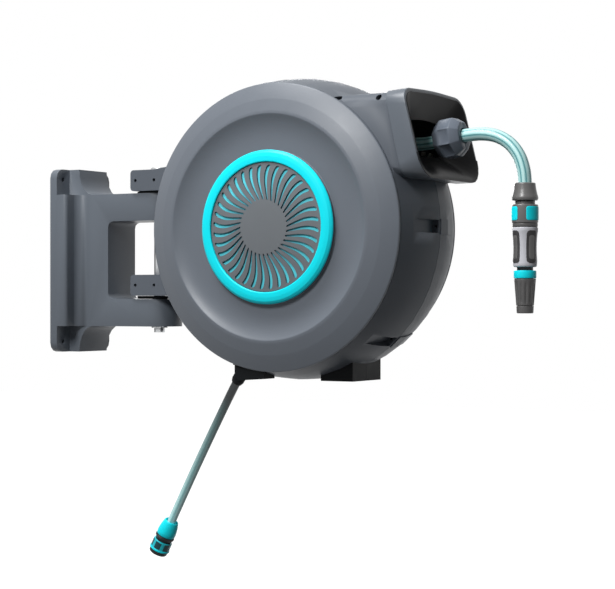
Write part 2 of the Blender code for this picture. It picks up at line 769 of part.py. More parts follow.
def body_radius(y, side):
    """The barrel bulges: widest at the split, narrower towards its ends."""
    return BODY_RADIUS - (BODY_RADIUS - edge_radius(side)) * (y / BODY_HALF_WIDTH) ** 2


def barrel(side, inset, start, end):
    """Closed solid of half the barrel between two distances from the split."""
    stations = [start + (end - start) * k / BARREL_PARTS for k in range(BARREL_PARTS + 1)]
    rim = [(body_radius(max(y, 0.0), side) - inset, y) for y in stations]
    return [(0.0, start)] + rim + [(0.0, end)]


def seam_x(z):
    slope = (SEAM_BOTTOM[0] - SEAM_TOP[0]) / (SEAM_TOP[1] - SEAM_BOTTOM[1])
    return SEAM_TOP[0] + (SEAM_TOP[1] - z) * slope


def rim_x(z):
    slope = (RIM_BOTTOM[0] - RIM_TOP[0]) / (RIM_TOP[1] - RIM_BOTTOM[1])
    return RIM_TOP[0] + (RIM_TOP[1] - z) * slope


def window_loop(half_width, bottom, top, low_corner, high_corner, x_at, crown=0.0):
    """Rounded opening seen along the hose, on a plane that may lean. Its top may be crowned."""
    corners = [(-half_width, bottom, low_corner), (half_width, bottom, low_corner),
               (half_width, top, high_corner), (-half_width, top, high_corner)]
    if crown:
        corners.insert(3, (0.0, top + crown, half_width ** 2 / (3.0 * crown)))
    return [(x_at(z), y, z) for y, z in rounded(corners, 5)]


def mouth_box(side, inset, start, past_seam):
    """Half of the box that carries the mouth, from inside the barrel to the seam."""
    def loop(bottom, top, x_at):
        width = BOX_HALF_WIDTH - inset
        corner = BOX_CORNER - inset
        near = SHELL_SPLIT / 2.0 - inset / 2.0
        outline = rounded([(near, bottom + inset, 0.0), (width, bottom + inset, corner),
                           (width, top - inset, corner), (near, top - inset, 0.0)], 4)
        return [(x_at(z), side * y, z) for y, z in outline]
    first = loop(BOX_BOTTOM_START, SEAM_TOP[1], lambda z: start)
    last = loop(SEAM_BOTTOM[1], SEAM_TOP[1], lambda z: seam_x(z) + past_seam)
    return capped_loft(first, last)


def mouth_pocket():
    """Room for the collar, which also trims the mouth box and the barrel along the seam."""
    half = BOX_HALF_WIDTH + FRAME_STEP + RIM_FLARE + OVERCUT
    top = RIM_TOP[1] + RIM_CROWN + OVERCUT
    sharp = BOX_CORNER / 2.0
    first = window_loop(half, SEAM_BOTTOM[1] - FRAME_STEP - SEAT_GAP, top, sharp, sharp, seam_x)
    last = window_loop(half, RIM_BOTTOM[1] - SEAT_GAP, top, sharp, sharp, rim_x)
    return capped_loft(first, last)


def lug_block(side, low, high, rise):
    """One half of a hinge lug, from its rounded wall end into the barrel."""
    start = SHELL_SPLIT / 2.0
    end = LUG_HALF_WIDTH
    into = REEL_X - BODY_RADIUS + LUG_SINK
    outline = rounded([(LUG_END, low, LUG_CORNER), (into, low, 0.0), (into, high + rise, 0.0),
                       (into - LUG_RISE_RUN, high, 0.0), (LUG_END, high, LUG_CORNER)], 3)
    near, far = sorted((side * start, side * end))
    return prism(outline, "Y", near, far)


def standing(angle, outline, half_width):
    """Extrude an outline of (distance from the axle, y) and stand it at an angle about the axle."""
    bm = prism(outline, "Z", -half_width, half_width)
    spin = Matrix.Rotation(-math.radians(angle), 4, 'Y')
    bm.transform(Matrix.Translation((REEL_X, 0.0, REEL_HEIGHT)) @ spin)
    return bm


def scoop(angle, wall):
    """Wedge that runs out on the front half's surface. A wall makes it the lining round the scoop."""
    floor = BODY_RADIUS - SCOOP_DEPTH - wall
    near = SCOOP_END_WALL if wall == 0.0 else -PAST_SPLIT
    end = SCOOP_END_WALL + SCOOP_LENGTH + wall
    beyond = BODY_RADIUS + OVERCUT
    outline = [(floor, -near), (beyond, -near), (beyond, -end), (body_radius(end, -1.0) - wall, -end)]
    return standing(angle, outline, SCOOP_WIDTH / 2.0 + wall)


def pad(angle):
    """Raised pad on the rear half, which follows the barrel's bulge."""
    stations = [SHELL_SPLIT / 2.0] + [BODY_HALF_WIDTH * k / BARREL_PARTS for k in (1, 2)]
    top = [(body_radius(y, 1.0) + PAD_HEIGHT, y) for y in stations]
    below = [(body_radius(y, 1.0) - SHELL_WALL / 2.0, y) for y in reversed(stations)]
    return standing(angle, top + below, PAD_WIDTH / 2.0)


def screw_boss(angle, low, half_width):
    """Solid left inside the rear half behind a pad, which takes the screw from the front half."""
    beyond = BODY_RADIUS + OVERCUT
    reach = JOIN_SCREW_REACH + BOSS_WALL
    outline = [(low, -PAST_SPLIT), (beyond, -PAST_SPLIT), (beyond, reach), (low, reach)]
    return standing(angle, outline, half_width)


def join_screw_hole(angle, side):
    """Screw hole through the scoop's end wall, and on into the rear half's boss."""
    turn = math.radians(angle)
    distance = BODY_RADIUS - SCOOP_DEPTH + JOIN_SCREW_RISE
    place = (REEL_X + distance * math.cos(turn), REEL_HEIGHT + distance * math.sin(turn))
    start = -SCOOP_END_WALL - OVERCUT if side < 0.0 else -OVERCUT
    end = OVERCUT if side < 0.0 else JOIN_SCREW_REACH
    return cross_rod(JOIN_SCREW_RADIUS, place, start, end, SCREW_HOLE_STEPS)


def well(place, wall):
    """Round screw well in the mouth box's top edge. A wall makes it the lining round the well."""
    floor = BOX_HALF_WIDTH - WELL_DEPTH - wall
    return cross_rod(WELL_RADIUS + wall, place, -BODY_HALF_WIDTH - OVERCUT, -floor, PIN_STEPS)


def shell_details(side):
    """Outside pads, linings left in the hollow, and pockets of one half of the body."""
    pads = []
    linings = []
    pockets = [join_screw_hole(angle, side) for angle in SCOOP_ANGLES]
    for angle in SCOOP_ANGLES:
        if side < 0.0:
            linings.append(scoop(angle, BOSS_WALL))
            pockets.append(scoop(angle, 0.0))
        else:
            pads.append(pad(angle))
            linings.append(screw_boss(angle, BODY_RADIUS - PAD_BOSS_DEPTH, SCOOP_WIDTH / 2.0))
    if side < 0.0:
        linings += [well(place, BOSS_WALL) for place in WELL_PLACES]
        pockets += [well(place, 0.0) for place in WELL_PLACES]
    return pads, linings, pockets


def shell_holes(side):
    """Holes of one half of the body: swivel pin, axle, lug screws and the supply hose's way."""
    half_h = PLATE_HEIGHT / 2.0
    pin_hole = rod(PIN_RADIUS + SEAT_GAP, (PIN_X, 0.0, -half_h), (PIN_X, 0.0, half_h), SMALL_STEPS)
    seat = (AXLE_RADIUS + SEAT_GAP) / math.cos(math.pi / AXLE_HOLE_STEPS)
    inner = side * (BODY_HALF_WIDTH - SHELL_WALL - OVERCUT)
    outer = side * (BODY_HALF_WIDTH + OVERCUT)
    holes = [pin_hole, cross_rod(seat, AXLE_PLACE, inner, outer, AXLE_HOLE_STEPS)]
    start = side * (LUG_HALF_WIDTH + OVERCUT)
    end = side * (LUG_HALF_WIDTH - LUG_SCREW_DEPTH)
    for low, high in lug_levels():
        for offset in (-LUG_SCREW_OFFSET, LUG_SCREW_OFFSET):
            place = (PIN_X + offset, (low + high) / 2.0)
            holes.append(cross_rod(LUG_SCREW_RADIUS, place, start, end, SCREW_HOLE_STEPS))
    if side < 0.0:
        holes.append(feed_hole())
    return holes


def shell(name, side, swivel):
    """Half of the reel's body: barrel half, end wall, mouth box half, lug halves and foot half."""
    centre = (REEL_X, 0.0, REEL_HEIGHT)
    direction = FRONT if side < 0.0 else REAR
    split = SHELL_SPLIT / 2.0
    outer = turned(barrel(side, 0.0, split, BODY_HALF_WIDTH), ROUND_STEPS, centre, direction, is_ring=False)
    near, far = sorted((side * split, side * FOOT_HALF_WIDTH))
    foot = box((FOOT_START, near, FOOT_BOTTOM), (FOOT_END, far, REEL_HEIGHT - BODY_EDGE_RADIUS + FOOT_SINK))
    pads, linings, pockets = shell_details(side)
    (upper_low, upper_high), (lower_low, lower_high) = lug_levels()
    additions = [mouth_box(side, 0.0, BOX_START, OVERCUT), foot,
                 lug_block(side, upper_low, upper_high, UPPER_LUG_RISE),
                 lug_block(side, lower_low, lower_high, 0.0)] + pads
    if side < 0.0:
        additions.append(inlet_block())
    outer = joined(outer, *additions)

    inside = barrel(side, SHELL_WALL, -OVERCUT, BODY_HALF_WIDTH - SHELL_WALL)
    cavity = turned(inside, ROUND_STEPS, centre, direction, is_ring=False)
    cavity = joined(cavity, mouth_box(side, SHELL_WALL, BOX_START, PAST_SEAM))
    cavity = cut(cavity, *linings)
    hollow = cut(cut(outer, mouth_pocket()), cavity)
    add_piece(name, cut(hollow, *pockets, *shell_holes(side)), "grey plastic", swivel)


def inlet_block():
    """Housing under the front half, whose end leans as the supply hose does that comes out of it."""
    top = REEL_HEIGHT - BODY_EDGE_RADIUS + FOOT_SINK
    upper_start = INLET_START + INLET_LEAN[0]
    outline = [(INLET_START, FOOT_BOTTOM), (INLET_START + INLET_FLAT, FOOT_BOTTOM),
               (INLET_END, FOOT_BOTTOM + INLET_RISE), (INLET_END, top),
               (upper_start, top), (upper_start, FOOT_BOTTOM + INLET_LEAN[1])]
    return prism(outline, "Y", -INLET_FRONT, -INLET_BACK)


def supply_stretches():
    """The supply hose's middle line in two stretches, inside the body and below the gland."""
    fine = smooth_route(SUPPLY_ROUTE, ROUTE_SPACING)
    split = next(i for i, point in enumerate(fine) if point.z <= GLAND_TOP)
    return fine[:split + 1], fine[split:]


def gland_place():
    """Where the supply hose leaves the body, and its direction there."""
    inside, outside = supply_stretches()
    return outside[0], (outside[2] - inside[-3]).normalized()


def feed_hole():
    """Passage of the supply hose through the inlet housing, with room for its gland."""
    start, along = gland_place()
    radius = GLAND_RADIUS + SEAT_GAP
    return rod(radius, start - along * FEED_HOLE_IN, start + along * FEED_HOLE_OUT, SMALL_STEPS)


def cover_profile(side, is_plain):
    """Section of a side cover as (radius, distance from the barrel's edge): face, then inside."""
    edge = edge_radius(side)
    wall = COVER_WALL
    chamfer_r, chamfer_d = COVER_CHAMFER
    lip_r, lip_d = COVER_LIP
    bowl_r, bowl_d = COVER_BOWL
    rise_r, rise_d = COVER_BOWL_RISE
    seat_r = RING_OUTER + RING_MARGIN
    seat_d = RING_SEAT_DEPTH
    hole = RING_INNER - BACKING_LEDGE
    rim = [(edge - COVER_DRAFT, SEAT_GAP), (edge, COVER_RIM_DEPTH), (chamfer_r, chamfer_d)]
    lip = [(lip_r + LIP_SHOULDER[0], lip_d - LIP_SHOULDER[1]), (lip_r, lip_d)]
    round_lip = [(lip_r - LIP_FALL[0], lip_d - LIP_FALL[1]), (bowl_r + BOWL_EDGE[0], bowl_d + BOWL_EDGE[1])]
    bowl = [(bowl_r, bowl_d), (bowl_r - BOWL_FLOOR[0], bowl_d + BOWL_FLOOR[1]), (rise_r, rise_d)]
    centre = [(seat_r, seat_d), (hole, seat_d), (hole, seat_d - wall)]
    inside = [(RING_OUTER, seat_d - wall), (bowl_r, bowl_d - wall), (lip_r, lip_d - 2.0 * wall),
              (edge - wall, SEAT_GAP)]
    if is_plain:
        return rim + lip + bowl[::2] + centre + inside
    return rim + lip + round_lip + bowl + centre + inside


def grille_profile():
    """Section of the grille: a rim, a gentle cone and a flat hub."""
    rim = RING_INNER - SEAT_GAP
    low = RING_SEAT_DEPTH + SEAT_GAP
    edge = low + GRILLE_RIM_DEPTH
    top = edge + GRILLE_RISE
    return ((0.0, top), (HUB_RADIUS, top), (rim, edge), (rim, low), (rim - GRILLE_LEDGE, low),
            (HUB_RADIUS, top - GRILLE_WALL), (0.0, top - GRILLE_WALL))


def backing_profile():
    """Section of the coloured dish behind the grille, which sits in the cover's centre hole."""
    rim = facet_radius(RING_INNER - BACKING_LEDGE, ROUND_STEPS) - SEAT_GAP
    flange = RING_INNER - BACKING_RIM_GAP
    seat = RING_SEAT_DEPTH - COVER_WALL - SEAT_GAP
    top = RING_SEAT_DEPTH + SEAT_GAP + GRILLE_RIM_DEPTH + GRILLE_RISE - GRILLE_WALL - BACKING_GAP
    shoulder = top - GRILLE_RISE
    return ((0.0, top), (HUB_RADIUS, top), (rim, shoulder), (rim, seat), (flange, seat),
            (flange, seat - BACKING_WALL), (rim - 2.0 * BACKING_WALL, seat - BACKING_WALL),
            (HUB_RADIUS, top - BACKING_WALL), (0.0, top - BACKING_WALL))


def swirl_slots(centre, direction):
    """All the grille's slots as one cutter: each widens outwards along a bowed line."""
    bm = bmesh.new()
    low = RING_SEAT_DEPTH - OVERCUT
    high = RING_SEAT_DEPTH + GRILLE_RIM_DEPTH + GRILLE_RISE + OVERCUT
    for k in range(SLOT_COUNT):
        base = FULL_TURN * k / SLOT_COUNT
        left = []
        right = []
        for step in range(SLOT_STATIONS):
            share = step / (SLOT_STATIONS - 1)
            radius = SLOT_START + (SLOT_END - SLOT_START) * share
            lean = SLOT_SWEEP * share + SLOT_BEND * 4.0 * share * (1.0 - share)
            turn = base + math.radians(lean)
            width = SLOT_INNER_WIDTH + (SLOT_OUTER_WIDTH - SLOT_INNER_WIDTH) * share
            if step in (0, SLOT_STATIONS - 1):
                width *= SLOT_END_TAPER
            swing = width / 2.0 / radius
            left.append((radius * math.cos(turn + swing), radius * math.sin(turn + swing), low))
            right.append((radius * math.cos(turn - swing), radius * math.sin(turn - swing), low))
        floor = bm.faces.new([bm.verts.new(point) for point in left + right[::-1]])
        grown = bmesh.ops.extrude_face_region(bm, geom=[floor])
        top = [part for part in grown["geom"] if isinstance(part, bmesh.types.BMVert)]
        bmesh.ops.translate(bm, verts=top, vec=(0.0, 0.0, high - low))
    turn = UP.rotation_difference(Vector(direction)).to_matrix().to_4x4()
    bm.transform(Matrix.Translation(Vector(centre)) @ turn)
    return outward(bm)


def side_cover(name, side, swivel, is_slotted):
    """Cover and trim ring on one side of the body, round a swirl grille or a plain cap."""
    centre = (REEL_X, side * BODY_HALF_WIDTH, REEL_HEIGHT)
    direction = FRONT if side < 0.0 else REAR
    add_piece(name + "_cover", turned(cover_profile(side, not is_slotted), ROUND_STEPS, centre, direction),
              "grey plastic", swivel, WIDE_SMOOTH_ANGLE)
    seat = RING_SEAT_DEPTH + SEAT_GAP
    ring = ((RING_OUTER, seat), (RING_OUTER, seat + RING_HEIGHT - RING_CROWN),
            ((RING_OUTER + RING_INNER) / 2.0, seat + RING_HEIGHT),
            (RING_INNER, seat + RING_HEIGHT - RING_CROWN), (RING_INNER, seat))
    add_piece(name + "_trim_ring", turned(ring, ROUND_STEPS, centre, direction), "cyan plastic", swivel)
    disc = turned(grille_profile(), ROUND_STEPS, centre, direction, is_ring=False)
    if not is_slotted:
        add_piece(name + "_cap", disc, "grey plastic", swivel)
        return
    add_piece(name + "_grille", cut(disc, swirl_slots(centre, direction)), "grey plastic", swivel)
    dish = turned(backing_profile(), SMALL_STEPS, centre, direction, is_ring=False)
    add_piece(name + "_grille_backing", dish, "cyan plastic", swivel)


def mouth_frame(swivel):
    """Collar of the mouth: outer band, leaning rim, and a funnel down to the flat throat."""
    def seam(z):
        return seam_x(z) + SEAT_GAP
    low_seam = SEAM_BOTTOM[1] - FRAME_STEP
    high_seam = SEAM_TOP[1] + FRAME_STEP
    seam_half = BOX_HALF_WIDTH + FRAME_STEP
    rim_half = seam_half + RIM_FLARE
    edge = SHELL_WALL + FRAME_STEP
    outer_seam = window_loop(seam_half, low_seam, high_seam, BOX_CORNER, BOX_CORNER, seam, RIM_CROWN)
    outer_rim = window_loop(rim_half, RIM_BOTTOM[1], RIM_TOP[1], RIM_BOTTOM_CORNER, RIM_TOP_CORNER,
                            rim_x, RIM_CROWN)
    inner_rim = window_loop(rim_half - RIM_WALL, RIM_BOTTOM[1] + RIM_WALL, RIM_TOP[1] - RIM_WALL,
                            RIM_BOTTOM_CORNER - RIM_WALL, RIM_TOP_CORNER - RIM_WALL, rim_x, RIM_CROWN)
    throat = window_loop(THROAT_HALF_WIDTH, THROAT_BOTTOM, THROAT_TOP, THROAT_CORNER, THROAT_CORNER,
                         lambda z: THROAT_X, RIM_CROWN)
    behind = [(x - FUNNEL_WALL, y, z) for x, y, z in throat]
    inner_seam = window_loop(seam_half - edge, low_seam + edge, high_seam - edge,
                             BOX_CORNER - edge, BOX_CORNER - edge, seam, RIM_CROWN)
    frame = lofted([outer_seam, outer_rim, inner_rim, throat, behind, inner_seam])
    add_piece("mouth_frame", frame, "grey plastic", swivel, WIDE_SMOOTH_ANGLE)


def feed_parts(swivel):
    """Fixed hollow axle, inlet elbow at its front end, supply hose in the body, and its gland."""
    y_front = -AXLE_FRONT
    y_rear = BODY_HALF_WIDTH - SEAT_GAP
    length = y_rear - y_front
    profile = ((0.0, AXLE_BORE_LENGTH), (AXLE_BORE, AXLE_BORE_LENGTH), (AXLE_BORE, 0.0), (AXLE_RADIUS, 0.0),
               (AXLE_RADIUS, length), (0.0, length))
    axle = turned(profile, SMALL_STEPS, (REEL_X, y_front, REEL_HEIGHT), REAR, is_ring=False)
    union_start, union_end = union_span()
    middle = (union_start + union_end) / 2.0
    port = rod(AXLE_PORT_RADIUS, (REEL_X, middle, REEL_HEIGHT),
               (REEL_X + 2.0 * AXLE_RADIUS, middle, REEL_HEIGHT), SCREW_HOLE_STEPS)
    add_piece("fixed_axle", cut(axle, port), "brass", swivel)

    back = -(BODY_HALF_WIDTH - SHELL_WALL - SEAT_GAP)
    mouth = y_front - SEAT_GAP
    elbow = cross_rod(AXLE_RADIUS + ELBOW_WALL, AXLE_PLACE, back, mouth, SMALL_STEPS)
    branch_top = Vector((REEL_X, LEADER_Y, REEL_HEIGHT))
    branch_end = Vector(SUPPLY_ROUTE[0]) + UP * SEAT_GAP
    branch = rod(LEADER_RADIUS + BRANCH_WALL, branch_top - UP * BRANCH_SINK, branch_end, PIN_STEPS)
    way_in = cross_rod(AXLE_BORE, AXLE_PLACE, back + ELBOW_WALL, mouth + OVERCUT, PIN_STEPS)
    way_up = rod(LEADER_RADIUS - BRANCH_LINING, branch_top - UP * ELBOW_WALL,
                 branch_end - UP * OVERCUT, PIN_STEPS)
    add_piece("inlet_elbow", cut(joined(elbow, branch), way_in, way_up), "dark plastic", swivel)

    start, along = gland_place()
    bore = LEADER_RADIUS + GLAND_PLAY
    lip = GLAND_LENGTH + GLAND_TAPER
    profile = ((bore, 0.0), (GLAND_RADIUS, 0.0), (GLAND_RADIUS, GLAND_LENGTH),
               (bore + GLAND_PLAY, lip), (bore, lip))
    gland = turned(profile, SMALL_STEPS, start, along)
    add_piece("supply_hose_gland", gland, "dark plastic", swivel)
    inside = supply_stretches()[0]
    add_tube("supply_hose_inside", thinned(inside, ROUTE_EVERY), LEADER_RADIUS, "dark hose", swivel, 2)


def union_span():
    """Where the rotary union sits along the axle, between the drum's front wall and its spring."""
    start = -DRUM_HALF_WIDTH + DRUM_WALL + SEAT_GAP
    return start, start + UNION_LENGTH


def drum_parts(drum):
    """The drum turns on two bushes and holds the main spring inside its core."""
    centre = (REEL_X, 0.0, REEL_HEIGHT)
    half = DRUM_HALF_WIDTH
    core = DRUM_CORE_RADIUS
    hub = BUSH_RADIUS + SEAT_GAP
    inner = core - DRUM_WALL
    lid_out = half + FLANGE_THICKNESS
    lid_in = lid_out - LID_THICKNESS
    floor = -half + DRUM_WALL
    outline = ((hub, -half), (core, -half), (core, half), (FLANGE_RADIUS, half),
               (FLANGE_RADIUS, lid_out), (inner, lid_out), (inner, floor), (hub, floor))
    add_piece("drum_core", turned(outline, DRUM_STEPS, centre, REAR), "dark plastic", drum)
    eye = hub + FRONT_FLANGE_CLEAR
    front = ((eye, -half - FLANGE_THICKNESS), (FLANGE_RADIUS, -half - FLANGE_THICKNESS),
             (FLANGE_RADIUS, -half - SEAT_GAP), (eye, -half - SEAT_GAP))
    add_piece("drum_front_flange", turned(front, DRUM_STEPS, centre, REAR), "dark plastic", drum)
    lid = ((hub, lid_in), (inner - SEAT_GAP, lid_in), (inner - SEAT_GAP, lid_out), (hub, lid_out))
    add_piece("spring_lid", turned(lid, DRUM_STEPS, centre, REAR), "steel", drum)
    seats = (("front", -half - FLANGE_THICKNESS, floor),
             ("rear", lid_in, lid_out + REAR_BUSH_STEP))
    for name, low, high in seats:
        bush = ((AXLE_RADIUS + SEAT_GAP, low), (BUSH_RADIUS, low), (BUSH_RADIUS, high),
                (AXLE_RADIUS + SEAT_GAP, high))
        add_piece(name + "_drum_bush", turned(bush, SMALL_STEPS, centre, REAR), "bearing plastic", drum)
    start, end = union_span()
    union = turned(((AXLE_RADIUS + SEAT_GAP, start), (UNION_RADIUS, start), (UNION_RADIUS, end),
                    (AXLE_RADIUS + SEAT_GAP, end)), SMALL_STEPS, centre, REAR)
    y = (start + end) / 2.0
    wall = facet_radius(inner, DRUM_STEPS) - SEAT_GAP
    tail = rod(OUTLET_RADIUS, (REEL_X, y, REEL_HEIGHT + BUSH_RADIUS),
               (REEL_X, y, REEL_HEIGHT + wall), PIN_STEPS)
    add_piece("rotary_union", joined(union, tail), "brass", drum)
    main_spring(drum)


def main_spring(drum):
    """Flat spiral spring: one steel strip from near the axle out to the drum's wall."""
    steps = SPRING_TURNS * SPRING_STEPS
    bm = bmesh.new()
    rows = []
    for k in range(steps + 1):
        turn = FULL_TURN * SPRING_TURNS * k / steps
        radius = SPRING_INNER + (SPRING_OUTER - SPRING_INNER) * k / steps
        row = []
        for r, y in ((radius, -SPRING_HALF_WIDTH), (radius + SPRING_STRIP, -SPRING_HALF_WIDTH),
                     (radius + SPRING_STRIP, SPRING_HALF_WIDTH), (radius, SPRING_HALF_WIDTH)):
            row.append(bm.verts.new((REEL_X + r * math.cos(turn), y + SPRING_MIDDLE,
                                     REEL_HEIGHT + r * math.sin(turn))))
        rows.append(row)
    for near, far in zip(rows, rows[1:]):
        for i in range(4):
            j = (i + 1) % 4
            bm.faces.new((near[i], near[j], far[j], far[i]))
    bm.faces.new(rows[0])
    bm.faces.new(rows[-1])
    bmesh.ops.recalc_face_normals(bm, faces=bm.faces)
    add_piece("main_spring", bm, "steel", drum)


def gear_outline(teeth, phase):
    """Outline of a spur gear with straight, slightly slim teeth."""
    pitch = TOOTH_MODULE * teeth / 2.0
    root = pitch - TOOTH_ROOT * TOOTH_MODULE
    tip = pitch + TOOTH_TIP * TOOTH_MODULE
    step = FULL_TURN / teeth
    points = []
    for k in range(teeth):
        middle = phase + k * step
        for radius, share in ((root, -TOOTH_ROOT_SHARE), (tip, -TOOTH_TIP_SHARE),
                              (tip, TOOTH_TIP_SHARE), (root, TOOTH_ROOT_SHARE)):
            turn = middle + share * step
            points.append((radius * math.cos(turn), radius * math.sin(turn)))
    return points


def add_gear(name, teeth, phase, place, bore, carrier):
    outline = [(place[0] + a, place[1] + b) for a, b in gear_outline(teeth, phase)]
    wheel = prism(outline, "Y", GEAR_START, GEAR_START + GEAR_THICKNESS)
    hole = cross_rod(bore, place, 0.0, BODY_HALF_WIDTH, PIN_STEPS)
    return add_piece(name, cut(wheel, hole), "bearing plastic", carrier)


def idler_place():
    reach = TOOTH_MODULE * (DRUM_TEETH + IDLER_TEETH) / 2.0
    return (REEL_X + reach * math.cos(GEAR_LINE), REEL_HEIGHT + reach * math.sin(GEAR_LINE))


def gear_train(swivel, drum, idler, screw):
    """Drum gear, idler and screw gear stand on one line, each tooth centred in its neighbour's gap."""
    sleeve_start = DRUM_HALF_WIDTH + FLANGE_THICKNESS + SEAT_GAP
    outline = [(REEL_X + a, REEL_HEIGHT + b) for a, b in gear_outline(DRUM_TEETH, GEAR_LINE)]
    wheel = prism(outline, "Y", GEAR_START, GEAR_START + GEAR_THICKNESS)
    sleeve = cross_rod(BUSH_RADIUS + GEAR_SLEEVE_WALL, AXLE_PLACE, sleeve_start,
                       GEAR_START + OVERCUT, SMALL_STEPS)
    bush_end = DRUM_HALF_WIDTH + FLANGE_THICKNESS + REAR_BUSH_STEP
    step_hole = cross_rod(BUSH_RADIUS + SEAT_GAP, AXLE_PLACE, 0.0, bush_end + SEAT_GAP, SMALL_STEPS)
    hole = cross_rod(AXLE_RADIUS + RUNNING_GAP, AXLE_PLACE, 0.0, BODY_HALF_WIDTH, SMALL_STEPS)
    add_piece("drum_gear", cut(joined(wheel, sleeve), step_hole, hole), "bearing plastic", drum)
    place = idler_place()
    back = GEAR_LINE + math.pi
    idler_bore = IDLER_PIN_RADIUS + RUNNING_GAP
    add_gear("idler_gear", IDLER_TEETH, back + math.pi / IDLER_TEETH, place, idler_bore, idler)
    phase = back + (math.pi / SCREW_TEETH if IDLER_TEETH % 2 else 0.0)
    add_gear("cross_screw_gear", SCREW_TEETH, phase, SCREW_PLACE, SCREW_JOURNAL + SEAT_GAP, screw)
    wall = BODY_HALF_WIDTH - SHELL_WALL - SEAT_GAP
    pin = cross_rod(IDLER_PIN_RADIUS, place, GEAR_START - OVERCUT, wall, PIN_STEPS)
    washer_start = GEAR_START + GEAR_THICKNESS + RUNNING_GAP
    washer = cross_rod(IDLER_PIN_RADIUS + IDLER_WASHER, place, washer_start, wall, PIN_STEPS)
    add_piece("idler_pin", joined(pin, washer), "steel", swivel)


def ratchet_parts(swivel, drum, pawl):
    """Ratchet wheel on the drum's rear flange, and the pawl that stops the spring's pull."""
    start = DRUM_HALF_WIDTH + FLANGE_THICKNESS + SEAT_GAP
    end = start + RATCHET_THICKNESS
    outline = []
    for k in range(RATCHET_TEETH):
        base = FULL_TURN * k / RATCHET_TEETH
        for depth, share in RATCHET_TOOTH:
            radius = RATCHET_RADIUS - depth * RATCHET_DEPTH
            turn = base - share * FULL_TURN / RATCHET_TEETH
            outline.append((REEL_X + radius * math.cos(turn), REEL_HEIGHT + radius * math.sin(turn)))
    wheel = prism(outline, "Y", start, end)
    inside = RATCHET_RADIUS - RATCHET_DEPTH - RATCHET_BAND
    hole = cross_rod(inside, AXLE_PLACE, 0.0, BODY_HALF_WIDTH, SMALL_STEPS)
    add_piece("ratchet_wheel", cut(wheel, hole), "steel", drum)

    place = pawl_place()
    radial, tangent = pawl_frame()
    inner = RATCHET_RADIUS + PAWL_CLEAR
    centre = Vector(AXLE_PLACE)
    foot = PAWL_REACH + PAWL_WIDTH / 2.0
    outer = inner + PAWL_WIDTH
    corners = ((inner, 0.0), (inner, foot), (outer, foot), (outer, PAWL_NOSE[1]),
               (inner + PAWL_NOSE[0], 0.0))
    shape = [centre + radial * r + tangent * t for r, t in corners]
    low = start + PAWL_LIFT
    arm = prism([tuple(point) for point in shape], "Y", low, end)
    seat = (place.x, place.z)
    hole = cross_rod(PAWL_PIN_RADIUS + RUNNING_GAP, seat, 0.0, BODY_HALF_WIDTH, PIN_STEPS)
    add_piece("ratchet_pawl", cut(arm, hole), "steel", pawl)
    wall = BODY_HALF_WIDTH - SHELL_WALL - SEAT_GAP
    pin = cross_rod(PAWL_PIN_RADIUS, seat, low, wall, PIN_STEPS)
    shoulder = cross_rod(PAWL_PIN_RADIUS + PIN_SHOULDER, seat, end + RUNNING_GAP, wall, PIN_STEPS)
    add_piece("pawl_pin", joined(pin, shoulder), "steel", swivel)


def pawl_frame():
    """Directions of the pawl in X and Z: away from the axle at its tip, and from its tip to its pin."""
    turn = math.radians(PAWL_ANGLE)
    return Vector((math.cos(turn), math.sin(turn))), Vector((-math.sin(turn), math.cos(turn)))


def pawl_place():
    radial, tangent = pawl_frame()
    flat = radial * (RATCHET_RADIUS + PAWL_CLEAR + PAWL_WIDTH / 2.0) + tangent * PAWL_REACH
    return Vector((REEL_X + flat.x, 0.0, REEL_HEIGHT + flat.y))


def screw_surface(carrier):
    """Cross screw: two helical grooves of opposite hand cross each other on one shaft."""
    around = SCREW_SIDES
    rows = SCREW_ROWS
    bm = bmesh.new()
    rings = []
    for k in range(rows + 1):
        y = -SCREW_HALF_LENGTH + 2.0 * SCREW_HALF_LENGTH * k / rows
        ring = []
        for i in range(around):
            turn = FULL_TURN * i / around
            depth = 0.0
            if 0 < k < rows:
                for hand in (1.0, -1.0):
                    offset = (turn / FULL_TURN - hand * y / SCREW_PITCH) % 1.0
                    apart = min(offset, 1.0 - offset)
                    depth = max(depth, SCREW_GROOVE if apart < SCREW_GROOVE_SHARE else 0.0)
            radius = SCREW_RADIUS - depth
            ring.append(bm.verts.new((SCREW_PLACE[0] + radius * math.cos(turn), y,
                                      SCREW_PLACE[1] + radius * math.sin(turn))))
        rings.append(ring)
    for near, far in zip(rings, rings[1:]):
        for i in range(around):
            j = (i + 1) % around
            bm.faces.new((near[i], near[j], far[j], far[i]))
    end = BODY_HALF_WIDTH - SHELL_WALL - SEAT_GAP
    for ring, y in ((rings[0], -end), (rings[-1], end)):
        neck = []
        outer = []
        for i in range(around):
            turn = FULL_TURN * i / around
            x = SCREW_PLACE[0] + SCREW_JOURNAL * math.cos(turn)
            z = SCREW_PLACE[1] + SCREW_JOURNAL * math.sin(turn)
            neck.append(bm.verts.new((x, ring[0].co.y, z)))
            outer.append(bm.verts.new((x, y, z)))
        for i in range(around):
            j = (i + 1) % around
            bm.faces.new((ring[i], ring[j], neck[j], neck[i]))
            bm.faces.new((neck[i], neck[j], outer[j], outer[i]))
        bm.faces.new(outer)
    bmesh.ops.recalc_face_normals(bm, faces=bm.faces)
    add_piece("cross_screw", bm, "steel", carrier)


